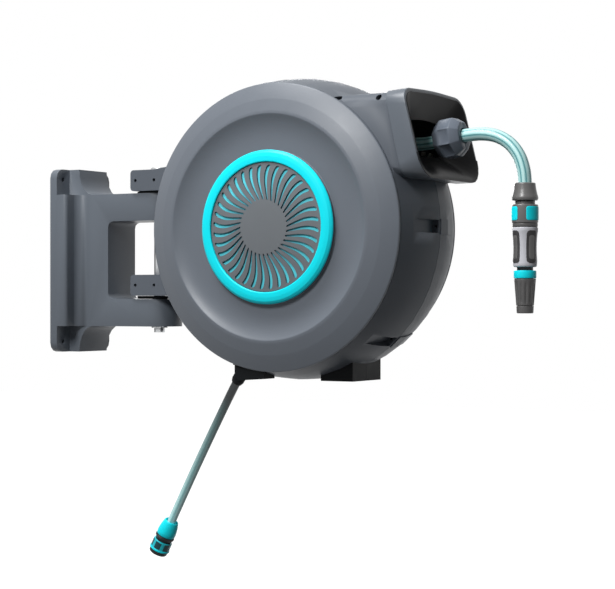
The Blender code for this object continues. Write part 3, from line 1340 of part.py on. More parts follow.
def hose_guide(swivel, screw, carriage):
    """Cross screw, guide rod and the carriage whose eye lays the hose side by side."""
    screw_surface(screw)
    end = BODY_HALF_WIDTH - SHELL_WALL - SEAT_GAP
    add_piece("guide_rod", cross_rod(ROD_RADIUS, ROD_PLACE, -end, end, ROD_STEPS), "steel", swivel)
    half = CARRIAGE_HALF_WIDTH
    eye, along = hose_at(EYE_X)
    margin = CARRIAGE_MARGIN
    slim = ROD_RADIUS + ROD_HOUSING
    corner = CARRIAGE_CORNER
    top = eye.z - EYE_RADIUS - EYE_WALL / 2.0
    outline = rounded([(SCREW_PLACE[0] - margin, SCREW_PLACE[1] - margin, corner),
                       (ROD_PLACE[0] - slim, ROD_PLACE[1] - slim, corner),
                       (ROD_PLACE[0] + slim, ROD_PLACE[1] - slim, corner),
                       (ROD_PLACE[0] + slim, ROD_PLACE[1] + slim, corner),
                       (SCREW_PLACE[0] + margin, SCREW_PLACE[1] + margin, 0.0),
                       (SCREW_PLACE[0] + margin, top, 0.0), (SCREW_PLACE[0] - margin, top, corner)], 2)
    block = prism(outline, "Y", -half, half)
    flare = EYE_RADIUS + EYE_FLARE
    rim = EYE_RADIUS + EYE_WALL
    depth = EYE_HALF_DEPTH
    ring = turned(((flare, -depth), (rim, -depth), (rim, depth), (flare, depth), (EYE_RADIUS, 0.0)),
                  SMALL_STEPS, eye, along)
    reach = CARRIAGE_REACH
    screw_hole = cross_rod(SCREW_RADIUS + RUNNING_GAP, SCREW_PLACE, -reach, reach, SMALL_STEPS)
    rod_hole = cross_rod(ROD_RADIUS + SEAT_GAP, ROD_PLACE, -reach, reach, ROD_STEPS)
    hose_way = rod(flare, eye - along * reach, eye + along * reach, SMALL_STEPS)
    block = cut(block, screw_hole, rod_hole, hose_way)
    add_piece("guide_carriage", joined(block, ring), "bearing plastic", carriage)


def hose_at(x):
    """The hose's middle and its direction where it first passes a distance from the wall."""
    fine = smooth_route(HOSE_ROUTE, ROUTE_SPACING / 2.0)
    index = next(i for i, point in enumerate(fine) if point.x >= x)
    before = fine[index - 1]
    after = fine[index]
    share = (x - before.x) / (after.x - before.x)
    return before.lerp(after, share), (fine[index + 3] - fine[index - 4]).normalized()


def winding_points():
    """Outer layer of the wound hose: a helix whose two ends run on straight for one diameter."""
    count = round(WINDING_TURNS * WINDING_POINTS)
    span = WINDING_PITCH * WINDING_TURNS
    points = []
    for k in range(count + 1):
        turn = FULL_TURN * WINDING_TURNS * k / count
        points.append(Vector((REEL_X + WINDING_RADIUS * math.cos(turn), -span / 2.0 + span * k / count,
                              REEL_HEIGHT + WINDING_RADIUS * math.sin(turn))))
    slope = span / (FULL_TURN * WINDING_TURNS)
    first = Vector((0.0, -slope, -WINDING_RADIUS)).normalized()
    last_turn = FULL_TURN * WINDING_TURNS
    last = Vector((-WINDING_RADIUS * math.sin(last_turn), slope, WINDING_RADIUS * math.cos(last_turn)))
    last.normalize()
    diameter = 2.0 * HOSE_RADIUS
    return [points[0] + first * diameter] + points + [points[-1] + last * diameter]


def least_self_gap(points, radius, apart):
    """Smallest distance between two stretches of a tube that are not neighbours."""
    least = math.inf
    for i, here in enumerate(points):
        for other in points[i + apart:]:
            least = min(least, (here - other).length - 2.0 * radius)
    return least


def wound_hose(drum):
    """Inner layers as one plain ring, and the outer layer wound over it."""
    half = DRUM_HALF_WIDTH - SEAT_GAP
    outer = WINDING_RADIUS - HOSE_RADIUS - LAYER_GAP
    inner = DRUM_CORE_RADIUS + SEAT_GAP
    ring = ((inner, -half), (outer, -half), (outer, half), (inner, half))
    layers = turned(ring, DRUM_STEPS, (REEL_X, 0.0, REEL_HEIGHT), REAR)
    add_piece("inner_hose_layers", layers, "teal hose", drum)
    points = winding_points()
    gap = least_self_gap(points, HOSE_RADIUS, WINDING_POINTS // 2)
    print("least gap between the turns of the wound hose, mm:", round(gap * 1000.0, 2))
    add_tube("wound_hose", points, HOSE_RADIUS, "teal hose", drum, 1)


def hose_stretch(start_x, end_x):
    """Part of the hose's middle line between two distances from the wall, cut square at both."""
    fine = smooth_route(HOSE_ROUTE, ROUTE_SPACING)
    low = 0
    high = len(fine)
    first = []
    last = []
    if start_x is not None:
        place, along = hose_at(start_x)
        low = next(i for i, point in enumerate(fine) if point.x > start_x + 2.0 * SEAT_GAP)
        first = [place + along * SEAT_GAP / 2.0]
    if end_x is not None:
        place, along = hose_at(end_x)
        high = next(i for i, point in enumerate(fine) if point.x > end_x - 2.0 * SEAT_GAP)
        last = [place - along * SEAT_GAP / 2.0]
    return first + fine[low:high] + last


def thinned(points, every):
    """Every so many points, with both ends' neighbours kept so that the ends stay square."""
    inner = points[every:-every // 2:every]
    return points[:2] + inner + points[-2:]


def pulled_hose(swivel):
    """The hose from the drum through the guide's eye and the stopper to the nozzle's nut."""
    stretches = (("hose_to_guide", None, EYE_X), ("hose_to_stopper", EYE_X, STOPPER_X),
                 ("hose_tail", STOPPER_X, None))
    for name, start_x, end_x in stretches:
        points = thinned(hose_stretch(start_x, end_x), ROUTE_EVERY)
        add_tube(name, points, HOSE_RADIUS, "teal hose", swivel, 2)


def stopper(swivel):
    """Stop ball clamped on the hose: two faceted halves that meet on the hose's axis."""
    half = STOPPER_HALF_LENGTH
    bore = (HOSE_RADIUS + STOPPER_PLAY) / math.cos(math.pi / STOPPER_SIDES)
    profile = ((bore, -half), (STOPPER_END_RADIUS, -half), (STOPPER_RADIUS, -STOPPER_BAND),
               (STOPPER_RADIUS, STOPPER_BAND), (STOPPER_END_RADIUS, half), (bore, half))
    middle, along = hose_at(STOPPER_X)
    for name, side in (("front", -1.0), ("rear", 1.0)):
        ball = turned(profile, STOPPER_SIDES, (0.0, 0.0, 0.0), Vector((1.0, 0.0, 0.0)))
        outside = [face for face in ball.faces if face.calc_center_median().yz.length > STOPPER_END_RADIUS]
        band = [face for face in outside if abs(face.normal.x) < FLAT_FACE]
        bmesh.ops.inset_individual(ball, faces=band, thickness=STOPPER_FRAME, depth=-STOPPER_DISH)
        ball.transform(Matrix.Rotation(math.pi / STOPPER_SIDES, 4, 'X'))
        halved(ball, (0.0, side * SEAT_GAP / 2.0, 0.0), (0.0, -side, 0.0))
        turn = Vector((1.0, 0.0, 0.0)).rotation_difference(along).to_matrix().to_4x4()
        ball.transform(Matrix.Translation(middle) @ turn)
        add_piece("stopper_" + name + "_half", ball, "grey plastic", swivel)


def hanging(profile, top, steps, is_ring=True):
    """Turn a profile of (radius, distance below top) on the nozzle's axis."""
    return turned(profile, steps, (NOZZLE_X, 0.0, top), -UP, is_ring)


def ribbed(bm, radius, count, low, high, depth):
    """Cut shallow lengthwise flutes into a round grip on the nozzle's axis."""
    cutters = []
    for k in range(count):
        turn = FULL_TURN * k / count
        x = NOZZLE_X + radius * math.cos(turn)
        y = radius * math.sin(turn)
        cutters.append(rod(depth, (x, y, low), (x, y, high), FLUTE_STEPS))
    return cut(bm, *cutters)


def hose_connector(swivel, collar):
    """Hose nut, connector body with a socket, and the sliding release collar."""
    bore = HOSE_RADIUS + SEAT_GAP
    nut = ((bore, 0.0), (NUT_TOP_RADIUS - EDGE_ROUND, 0.0), (NUT_TOP_RADIUS, EDGE_ROUND),
           (NUT_RADIUS, NUT_LENGTH - NUT_SKIRT), (NUT_RADIUS, NUT_LENGTH - EDGE_ROUND),
           (NUT_RADIUS - EDGE_ROUND, NUT_LENGTH), (bore, NUT_LENGTH))
    add_piece("hose_nut", hanging(nut, NUT_TOP, SMALL_STEPS), "grey plastic", swivel)
    top = NUT_TOP - NUT_LENGTH - SEAT_GAP
    end = NECK_LENGTH + CONNECTOR_LENGTH
    socket = PLUG_RADIUS + RUNNING_GAP
    lip = COLLAR_RADIUS - COLLAR_STEP
    floor = end - PLUG_LENGTH - RUNNING_GAP
    body = ((0.0, 0.0), (NECK_RADIUS, 0.0), (NECK_RADIUS, NECK_LENGTH - NECK_FLARE),
            (CONNECTOR_CORE, NECK_LENGTH), (CONNECTOR_CORE, end - COLLAR_SHORT), (lip, end - COLLAR_SHORT),
            (lip, end - EDGE_ROUND), (lip - EDGE_ROUND, end), (socket, end), (socket, floor), (0.0, floor))
    add_piece("hose_connector_body", hanging(body, top, SMALL_STEPS, is_ring=False), "dark plastic", swivel)
    inner = CONNECTOR_CORE + RUNNING_GAP
    low = NECK_LENGTH - OVERLAP
    high = end - COLLAR_SHORT - SEAT_GAP
    waist = COLLAR_RADIUS - COLLAR_WAIST
    fall, floor_start, floor_end, rise = [low + place for place in COLLAR_WAIST_PLACES]
    sleeve = ((inner, low), (COLLAR_RADIUS - EDGE_ROUND, low), (COLLAR_RADIUS, low + EDGE_ROUND),
              (COLLAR_RADIUS, fall), (waist, floor_start), (waist, floor_end), (COLLAR_RADIUS, rise),
              (COLLAR_RADIUS, high - EDGE_ROUND), (COLLAR_RADIUS - EDGE_ROUND, high), (inner, high))
    add_piece("release_collar", hanging(sleeve, top, SMALL_STEPS), "cyan plastic", collar)
    return top - end


def spray_nozzle(top, nozzle, tip):
    """Straight nozzle: plug, waisted grip body, coloured ring and fluted tip."""
    start = -PLUG_LENGTH
    end = GRIP_LENGTH
    spout_end = end + SPOUT_NECK_LENGTH + TIP_RING_LENGTH + SPOUT_IN_TIP
    body = ((0.0, start), (PLUG_RADIUS, start), (PLUG_RADIUS, SEAT_GAP), (GRIP_TOP_RADIUS, SEAT_GAP),
            (GRIP_TOP_RADIUS, GRIP_SHOULDER[0]), (GRIP_WAIST_RADIUS, GRIP_SHOULDER[1]),
            (GRIP_WAIST_RADIUS, end - GRIP_SKIRT[0]), (GRIP_RADIUS, end - GRIP_SKIRT[1]),
            (GRIP_RADIUS, end - EDGE_ROUND), (GRIP_RADIUS - EDGE_ROUND, end),
            (SPOUT_NECK_RADIUS, end), (SPOUT_NECK_RADIUS, spout_end), (0.0, spout_end))
    add_piece("nozzle_body", hanging(body, top, SMALL_STEPS, is_ring=False), "pale plastic", nozzle)
    ring_top = end + SPOUT_NECK_LENGTH
    ring_end = ring_top + TIP_RING_LENGTH
    bore = SPOUT_NECK_RADIUS + RUNNING_GAP
    face = TIP_RING_RADIUS - EDGE_ROUND
    ring = ((bore, ring_top), (face, ring_top), (TIP_RING_RADIUS, ring_top + EDGE_ROUND),
            (TIP_RING_RADIUS, ring_end - EDGE_ROUND), (face, ring_end), (bore, ring_end))
    add_piece("nozzle_ring", hanging(ring, top, SMALL_STEPS), "cyan plastic", tip)
    tip_top = ring_end + SEAT_GAP
    tip_end = tip_top + TIP_LENGTH
    hollow = ring_end + TIP_SOCKET
    cone = ((bore, tip_top), (TIP_RADIUS, tip_top), (TIP_END_RADIUS, tip_end - EDGE_ROUND),
            (TIP_END_RADIUS - EDGE_ROUND, tip_end), (TIP_BORE, tip_end), (TIP_THROAT, tip_end - TIP_MOUTH),
            (TIP_THROAT, hollow), (bore, hollow))
    fluted = ribbed(hanging(cone, top, SMALL_STEPS), TIP_RADIUS + FLUTE_OFFSET, TIP_FLUTES,
                    top - tip_end + FLUTE_END, top - tip_top - FLUTE_TOP, FLUTE_RADIUS)
    add_piece("nozzle_tip", fluted, "dark plastic", tip)


def supply_hose(swivel, collar):
    """Supply hose below the body, with the connector for the tap's hose on its end."""
    route = supply_stretches()[1]
    along = (route[-1] - route[-2]).normalized()
    route[0] = route[0] + (route[1] - route[0]).normalized() * SEAT_GAP
    add_tube("supply_hose", thinned(route, ROUTE_EVERY), LEADER_RADIUS, "dark hose", swivel, 2)
    start = route[-1] - along * HOSE_IN_LEADER_NUT
    bore = LEADER_RADIUS + RUNNING_GAP
    end = LEADER_NUT_LENGTH
    shoulder = [(LEADER_NUT_RADIUS - inset, place) for inset, place in LEADER_NUT_SHOULDER]
    nut = [(bore, 0.0)] + shoulder + [(LEADER_NUT_RADIUS, end - EDGE_ROUND),
                                      (LEADER_NUT_RADIUS - EDGE_ROUND, end), (bore, end)]
    add_piece("supply_hose_nut", turned(nut, SMALL_STEPS, start, along), "cyan plastic", swivel)
    top = end + SEAT_GAP
    low = top + LEADER_BODY_LENGTH
    band = LEADER_NUT_RADIUS + LEADER_RING_STEP
    band_end = top + LEADER_RING_LENGTH
    body = ((0.0, top), (band, top), (band, band_end), (LEADER_CORE, band_end + EDGE_ROUND),
            (LEADER_CORE, low - LEADER_LIP), (LEADER_BODY_RADIUS, low - LEADER_LIP),
            (LEADER_BODY_RADIUS - EDGE_ROUND, low), (PLUG_RADIUS, low), (PLUG_RADIUS, low - PLUG_LENGTH),
            (0.0, low - PLUG_LENGTH))
    connector = turned(body, SMALL_STEPS, start, along, is_ring=False)
    add_piece("supply_connector_body", connector, "dark plastic", swivel)
    inner = LEADER_CORE + RUNNING_GAP
    collar_top = top + LEADER_COLLAR_DROP
    collar_end = low - LEADER_LIP - SEAT_GAP
    taper = [(LEADER_BODY_RADIUS - inset, collar_top + place) for inset, place in LEADER_COLLAR_TAPER]
    ring = [(inner, collar_top)] + taper + [(LEADER_BODY_RADIUS, collar_end - LEADER_COLLAR_EDGE),
                                            (LEADER_BODY_RADIUS, collar_end), (inner, collar_end)]
    add_piece("supply_release_collar", turned(ring, SMALL_STEPS, start, along), "cyan plastic", collar)


def build():
    clear_scene()
    centre = (REEL_X, 0.0, REEL_HEIGHT)
    idler = idler_place()
    swivel = pivot("swivel_axis", (PIN_X, 0.0, 0.0))
    drum = pivot("drum_axis", centre, swivel)
    idler_axis = pivot("idler_axis", (idler[0], 0.0, idler[1]), swivel)
    screw = pivot("cross_screw_axis", (SCREW_PLACE[0], 0.0, SCREW_PLACE[1]), swivel)
    carriage = pivot("carriage_slide", (SCREW_PLACE[0], 0.0, SCREW_PLACE[1]), swivel)
    pawl = pivot("pawl_axis", pawl_place(), swivel)
    collar = pivot("release_collar_slide", (NOZZLE_X, 0.0, NUT_TOP), swivel)
    nozzle = pivot("nozzle_axis", (NOZZLE_X, 0.0, NUT_TOP), swivel)
    tip = pivot("nozzle_tip_axis", (NOZZLE_X, 0.0, NUT_TOP), nozzle)
    leader_collar = pivot("supply_collar_slide", SUPPLY_ROUTE[-1], swivel)

    wall_bracket()
    swivel_hardware(swivel)
    shell("front_shell", -1.0, swivel)
    shell("rear_shell", 1.0, swivel)
    side_cover("front", -1.0, swivel, True)
    side_cover("rear", 1.0, swivel, False)
    mouth_frame(swivel)
    feed_parts(swivel)
    drum_parts(drum)
    gear_train(swivel, drum, idler_axis, screw)
    ratchet_parts(swivel, drum, pawl)
    hose_guide(swivel, screw, carriage)
    wound_hose(drum)
    pulled_hose(swivel)
    stopper(swivel)
    nozzle_top = hose_connector(swivel, collar)
    spray_nozzle(nozzle_top, nozzle, tip)
    supply_hose(swivel, leader_collar)


build()
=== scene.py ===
# %% [markdown]
# # A retractable garden hose reel
# The reel hangs on a wall bracket and swivels on a pin. Its solid parts come from a CAD model that is
# loaded first and never moved. This lesson dresses them: it sets the camera, lays the hoses, rounds and
# refines the moulded plastic, adds the small grips that the solids leave out, and gives each surface a
# material made of nodes.

# %% Load the fixed frame
import json
import math
import bmesh
import bpy
from mathutils import Matrix, Vector

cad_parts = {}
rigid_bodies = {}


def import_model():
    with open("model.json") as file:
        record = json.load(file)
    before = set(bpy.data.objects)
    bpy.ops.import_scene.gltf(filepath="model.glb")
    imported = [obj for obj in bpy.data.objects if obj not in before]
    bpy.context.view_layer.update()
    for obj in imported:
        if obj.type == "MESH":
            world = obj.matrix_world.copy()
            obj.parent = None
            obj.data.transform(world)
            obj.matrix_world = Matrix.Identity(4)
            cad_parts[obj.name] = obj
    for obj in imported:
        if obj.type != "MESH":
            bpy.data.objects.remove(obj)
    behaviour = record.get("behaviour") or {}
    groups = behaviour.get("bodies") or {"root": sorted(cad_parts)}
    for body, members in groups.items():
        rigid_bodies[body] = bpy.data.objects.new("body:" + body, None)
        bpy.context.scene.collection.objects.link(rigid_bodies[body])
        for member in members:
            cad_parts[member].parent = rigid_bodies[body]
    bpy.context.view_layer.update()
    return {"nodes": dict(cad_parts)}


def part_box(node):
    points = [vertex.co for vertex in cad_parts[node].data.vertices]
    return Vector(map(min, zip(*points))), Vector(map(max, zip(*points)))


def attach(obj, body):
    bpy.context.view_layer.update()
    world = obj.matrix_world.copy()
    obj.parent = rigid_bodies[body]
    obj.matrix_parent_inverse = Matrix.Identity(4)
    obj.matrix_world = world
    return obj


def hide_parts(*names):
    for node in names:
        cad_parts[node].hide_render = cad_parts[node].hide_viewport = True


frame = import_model()
bpy.ops.object.select_all(action='DESELECT')
bpy.context.scene.view_settings.view_transform = 'Standard'

# %% [markdown]
# ## The camera
# The photograph was taken a little below the reel's axle, 31 degrees round from its front. The camera
# stands level, so upright edges stay upright, and a long lens keeps the disc's ellipse calm.

# %% Place the camera
PICTURE_WIDTH_PIXELS = 615.0
RAISE_PIXELS = 3.5
CAMERA_PLACE = (1.7285, -2.1870, -0.0567)
CAMERA_TURN = 31.0
camera_data = bpy.data.cameras.new("camera")
camera_data.sensor_width = 36.0
camera_data.lens = 104.96
camera_data.shift_y = RAISE_PIXELS / PICTURE_WIDTH_PIXELS
camera_data.clip_end = 60.0
camera = bpy.data.objects.new("camera", camera_data)
camera.location = CAMERA_PLACE
camera.rotation_euler = (math.radians(90.0), 0.0, math.radians(CAMERA_TURN))
bpy.context.scene.collection.objects.link(camera)
bpy.context.scene.camera = camera
print("camera at:", CAMERA_PLACE, "turned by:", CAMERA_TURN)

# %% [markdown]
# ## Where things are
# The reel turns about one point on its axle, and the nozzle hangs on one vertical line. Both are named
# once here, because most pieces are placed from them.

# %% Name the main places
REEL = Vector((0.413, 0.0, 0.0406))
HALF_WIDTH = 0.090
NOZZLE_X = 0.751
FRONT = Vector((0.0, -1.0, 0.0))
REAR = Vector((0.0, 1.0, 0.0))
Z_AXIS = Vector((0.0, 0.0, 1.0))
print("from the axle to the nozzle:", round(NOZZLE_X - REEL.x, 4))

# %% [markdown]
# ## Shader sums as Python sums
# A shader is easier to read as a formula than as a web of nodes. `Signal` wraps one output of a node, so
# that `1 - mask * 0.3` adds the Math nodes by itself.

# %% Wrap a node's output
class Signal:
    """One output of a shader node that can be added, multiplied and so on."""

    def __init__(self, finish, socket):
        self.finish = finish
        self.socket = socket

    def maths(self, operation, other, swapped=False):
        pair = (other, self) if swapped else (self, other)
        return self.finish.node("ShaderNodeMath", {"operation": operation}, {0: pair[0], 1: pair[1]})

    def __add__(self, other):
        return self.maths('ADD', other)

    def __radd__(self, other):
        return self.maths('ADD', other, True)

    def __sub__(self, other):
        return self.maths('SUBTRACT', other)

    def __rsub__(self, other):
        return self.maths('SUBTRACT', other, True)

    def __mul__(self, other):
        return self.maths('MULTIPLY', other)

    def __rmul__(self, other):
        return self.maths('MULTIPLY', other, True)

    def __truediv__(self, other):
        return self.maths('DIVIDE', other)

    def __pow__(self, other):
        return self.maths('POWER', other)


# %% [markdown]
# ## A material that adds its own nodes
# `Finish` is a material with one method that adds any node. It is told the node's type, its settings, and
# the values or links of its sockets. The other methods are short ways to add what most plastics need.

# %% Build a material from nodes
def set_stops(ramp, stops):
    """Give a colour ramp its stops, each a place and a colour."""
    while len(ramp.elements) < len(stops):
        ramp.elements.new(0.5)
    for element, (position, colour) in zip(ramp.elements, stops):
        element.position = position
        element.color = (*colour, 1.0)


class Finish:
    """A material, its shader, and short ways to add what most plastics need."""

    def __init__(self, name, colour, roughness, metallic=0.0, **sockets):
        self.material = bpy.data.materials.new(name)
        self.material.use_nodes = True
        self.tree = self.material.node_tree
        self.shader = self.tree.nodes["Principled BSDF"]
        self.colour = colour
        self.material.diffuse_color = (*colour, 1.0)
        self.shader.inputs["Base Color"].default_value = (*colour, 1.0)
        self.shader.inputs["Roughness"].default_value = roughness
        self.shader.inputs["Metallic"].default_value = metallic
        for label, value in sockets.items():
            self.shader.inputs[label.replace("_", " ")].default_value = value
        self.place = self.node("ShaderNodeTexCoord", {}, {}, "Object")

    def node(self, kind, settings, values, output=0):
        made = self.tree.nodes.new(kind)
        for label, value in settings.items():
            if label == "stops":
                set_stops(made.color_ramp, value)
            else:
                setattr(made, label, value)
        for label, value in values.items():
            self.feed(made.inputs[label], value)
        return Signal(self, made.outputs[output])

    def feed(self, socket, value):
        if isinstance(value, Signal):
            self.tree.links.new(value.socket, socket)
        elif isinstance(value, (tuple, list)) and len(value) == 3 and socket.type == 'RGBA':
            socket.default_value = (*value, 1.0)
        else:
            socket.default_value = value

    def noise(self, scale, detail=2.0, where=None, roughness=0.5):
        return self.node("ShaderNodeTexNoise", {}, {"Vector": where or self.place, "Scale": scale,
                                                    "Detail": detail, "Roughness": roughness})

    def ramp(self, signal, stops):
        return self.node("ShaderNodeValToRGB", {"stops": stops}, {0: signal})

    def mixed(self, share, first, second):
        return self.node("ShaderNodeMix", {"data_type": 'RGBA'}, {0: share, 6: first, 7: second}, 2)

    def axis(self, index, where=None):
        return self.node("ShaderNodeSeparateXYZ", {}, {0: where or self.place}, index)

    def set(self, label, signal):
        self.feed(self.shader.inputs[label], signal)

    def bump(self, height, strength, distance):
        values = {"Height": height, "Strength": strength, "Distance": distance}
        self.set("Normal", self.node("ShaderNodeBump", {}, values))

    def shades(self, share, low, high):
        """Base colour between a darker and a lighter version of itself."""
        dark = tuple(c * low for c in self.colour)
        light = tuple(min(1.0, c * high) for c in self.colour)
        self.set("Base Color", self.mixed(share, dark, light))


# %% [markdown]
# ## Moulded plastics
# The reel's body is satin blue-grey plastic out of an etched mould. Up close it has a fine leathery
# grain, which scatters light; from afar only a slow change of shade is left, from handling and dust. So
# each plastic gets the same two scales: fine noise into the bump and roughness, and broad noise into the
# colour. An etched skin is full of oil and dust and reflects less than polished plastic, so its specular
# level is well under the usual half.

# %% Mix the plastics
def moulded(name, colour, roughness, grain, depth, low=0.93, high=1.06, gloss=0.18):
    """Plastic with an etched grain (per metre) and slow changes of shade."""
    finish = Finish(name, colour, roughness, Specular_IOR_Level=gloss)
    broad = finish.noise(9.0, 3.0)
    fine = finish.noise(grain, 2.0, roughness=0.6)
    cloud = finish.noise(60.0, 4.0)
    finish.shades(broad * 0.6 + cloud * 0.25 + fine * 0.15, low, high)
    finish.set("Roughness", roughness - 0.06 + 0.10 * cloud + 0.05 * fine)
    finish.bump(fine + 0.35 * cloud, 0.22, depth)
    return finish


body_plastic = moulded("body_plastic", (0.104, 0.120, 0.142), 0.34, 1500.0, 0.00022, gloss=0.32)
cover_plastic = moulded("cover_plastic", (0.118, 0.134, 0.158), 0.36, 1700.0, 0.00020, gloss=0.34)
shell_plastic = moulded("shell_plastic", (0.102, 0.115, 0.135), 0.40, 1300.0, 0.00030, gloss=0.11)
grille_plastic = moulded("grille_plastic", (0.140, 0.153, 0.166), 0.48, 1600.0, 0.00020)
stopper_plastic = moulded("stopper_plastic", (0.120, 0.140, 0.172), 0.34, 1200.0, 0.00020)
# Painted shade: near black for the skin inside the mouth, where shade falls.
throat_plastic = moulded("throat_plastic", (0.011, 0.011, 0.012), 0.30, 1200.0, 0.00012, 0.85, 1.15, 0.08)
foot_plastic = moulded("foot_plastic", (0.008, 0.009, 0.010), 0.42, 1300.0, 0.00020, 0.88, 1.12, 0.06)
dark_plastic = moulded("dark_plastic", (0.018, 0.019, 0.021), 0.36, 1500.0, 0.00020, 0.85, 1.15)
tool_plastic = moulded("tool_plastic", (0.118, 0.116, 0.115), 0.28, 1400.0, 0.00015, gloss=0.45)
tip_plastic = moulded("tip_plastic", (0.092, 0.090, 0.090), 0.36, 1400.0, 0.00015, gloss=0.30)
pale_plastic = moulded("pale_plastic", (0.560, 0.565, 0.605), 0.36, 1600.0, 0.00015)
bearing_plastic = moulded("bearing_plastic", (0.560, 0.540, 0.480), 0.48, 900.0, 0.00015)
cyan_plastic = moulded("cyan_plastic", (0.006, 0.740, 0.850), 0.36, 1600.0, 0.00010, 0.96, 1.03)
teal_plastic = moulded("teal_plastic", (0.020, 0.480, 0.560), 0.32, 1500.0, 0.00015, 0.90, 1.08)
window_plastic = moulded("window_plastic", (0.008, 0.056, 0.068), 0.32, 1500.0, 0.00015, 0.85, 1.15)
grip_rubber = moulded("grip_rubber", (0.048, 0.047, 0.048), 0.50, 1000.0, 0.00040, 0.85, 1.15)
print("materials so far:", len(bpy.data.materials))

# %% [markdown]
# ## The dish behind the slots
# Less light reaches the middle of the bright dish, where the grille's slots are narrow. That shade is
# painted into its colour by the distance from the axle: dark in the middle, and its own colour only near the
# rim.

# %% Paint shade into the middle of the dish
DISH_PAINTED_SHADE = (0.075, 0.270, 0.360)
DISH_PALE = (0.4, 0.8, 0.8)
cyan_dish = moulded("cyan_dish", (0.095, 0.620, 0.730), 0.42, 1600.0, 0.00010, 0.96, 1.03)
across = cyan_dish.axis(0) - REEL.x
rise = cyan_dish.axis(2) - REEL.z
from_centre = (across * across + rise * rise) ** 0.5
# Painted shade: the dish's colour darkens towards the axle, where little light comes through the slots.
shaded_towards_axle = cyan_dish.ramp(from_centre * 10.0, ((0.36, DISH_PAINTED_SHADE), (0.72, cyan_dish.colour)))
cyan_dish.set("Base Color", cyan_dish.mixed(cyan_dish.noise(9.0, 3.0) * 0.1, shaded_towards_axle, DISH_PALE))
print("nodes in the dish's finish:", len(cyan_dish.tree.nodes))

# %% [markdown]
# ## Metals
# The pivot pin, its clip and the shafts inside are plain steel, brushed round by turning. The noise is
# squeezed along the shaft's own axis, which gives the fine rings that a lathe leaves. The axle is brass.

# %% Mix the metals
def turned_metal(name, colour, roughness, stretch):
    """Metal with fine tool marks: noise squeezed along the shaft and stretched round it."""
    finish = Finish(name, colour, roughness, 1.0)
    squeeze = {"operation": 'MULTIPLY'}
    stretched = finish.node("ShaderNodeVectorMath", squeeze, {0: finish.place, 1: stretch})
    rings = finish.noise(1.0, 3.0, stretched)
    stain = finish.noise(35.0, 4.0)
    finish.shades(0.6 * rings + 0.4 * stain, 0.82, 1.10)
    finish.set("Roughness", roughness - 0.08 + 0.12 * stain + 0.08 * rings)
    finish.bump(rings, 0.12, 0.0001)
    return finish


pin_steel = turned_metal("pin_steel", (0.560, 0.570, 0.580), 0.30, (60.0, 60.0, 2600.0))
shaft_steel = turned_metal("shaft_steel", (0.540, 0.550, 0.560), 0.32, (60.0, 2600.0, 60.0))
axle_brass = turned_metal("axle_brass", (0.710, 0.550, 0.270), 0.34, (60.0, 2600.0, 60.0))
print("nodes in a metal:", len(axle_brass.tree.nodes))

# %% [markdown]
# ## The hose's own pattern
# The garden hose is pale sea-green with darker lines that run along it, seen through a clear skin. The
# pattern has to bend with the hose, so it reads the hose's own map: once round it is 1 across, and its
# length in metres is the other way. The supply hose gets a painted shadow: it is dark where it comes out
# of the reel, in the shade of the reel's body, and turns to its own colour towards its end.

# %% Mix the hose finishes
BLACK = (0.0, 0.0, 0.0)
WHITE = (1.0, 1.0, 1.0)


def hose_finish(name, colour, line_colour, pale_colour, lines, roughness, start_shadow=None):
    """Lines along a hose; start_shadow is a painted shadow at its start: its colour and the length over
    which it goes.
    """
    finish = Finish(name, colour, roughness, Coat_Roughness=0.10, Coat_IOR=1.45)
    around = finish.axis(0, finish.node("ShaderNodeTexCoord", {}, {}, "UV"))
    along = finish.axis(1, finish.node("ShaderNodeTexCoord", {}, {}, "UV"))
    waver = finish.noise(40.0, 2.0)
    turn = around * lines + 0.06 * waver
    wave = (turn * (2.0 * math.pi)).maths('COSINE', 0.0) * 0.5 + 0.5
    line = finish.ramp(wave, ((0.70, BLACK), (0.90, WHITE)))
    pale = finish.ramp(wave, ((0.05, WHITE), (0.45, BLACK)))
    darker = tuple(c * 0.94 for c in colour)
    lighter = tuple(min(1.0, c * 1.05) for c in colour)
    tone = finish.mixed(finish.noise(25.0, 3.0), darker, lighter)
    shade = finish.mixed(line, finish.mixed(pale * 0.7, tone, pale_colour), line_colour)
    # Painted shadow: the hose is darker at its start, where the reel's body shades it, and clears over a
    # length.
    if start_shadow:
        dark, length = start_shadow
        clear = finish.ramp(along / length, ((0.14, BLACK), (1.0, WHITE)))
        shade = finish.mixed(clear, dark, shade)
    finish.set("Base Color", shade)
    weave = (along * 900.0).maths('SINE', 0.0)
    finish.set("Roughness", roughness + 0.10 * waver)
    finish.set("Coat Weight", 0.14 + 0.1 * waver)
    finish.bump(line * 0.6 + weave * 0.1, 0.25, 0.0002)
    return finish


garden_hose = hose_finish("garden_hose", (0.370, 0.660, 0.655), (0.095, 0.290, 0.310),
                          (0.540, 0.790, 0.780), 8.0, 0.36)
# The supply hose gets a painted shadow at its start: its colour, and the length over which it goes.
supply_finish = hose_finish("supply_hose_finish", (0.440, 0.760, 0.760), (0.280, 0.580, 0.590),
                            (0.580, 0.860, 0.860), 5.0, 0.34, ((0.004, 0.008, 0.009), 0.25))
print("nodes in the hose's finish:", len(garden_hose.tree.nodes))

# %% [markdown]
# ## A smooth line through chosen points
# A hose hangs in one smooth curve. The curve passes through a few chosen points, as the solids' hoses do,
# and is then walked along in even steps, so that the rings of a tube on it stand evenly.

# %% Find even points on a line
CURVE_STEPS = 24
RING_SPACING = 0.003


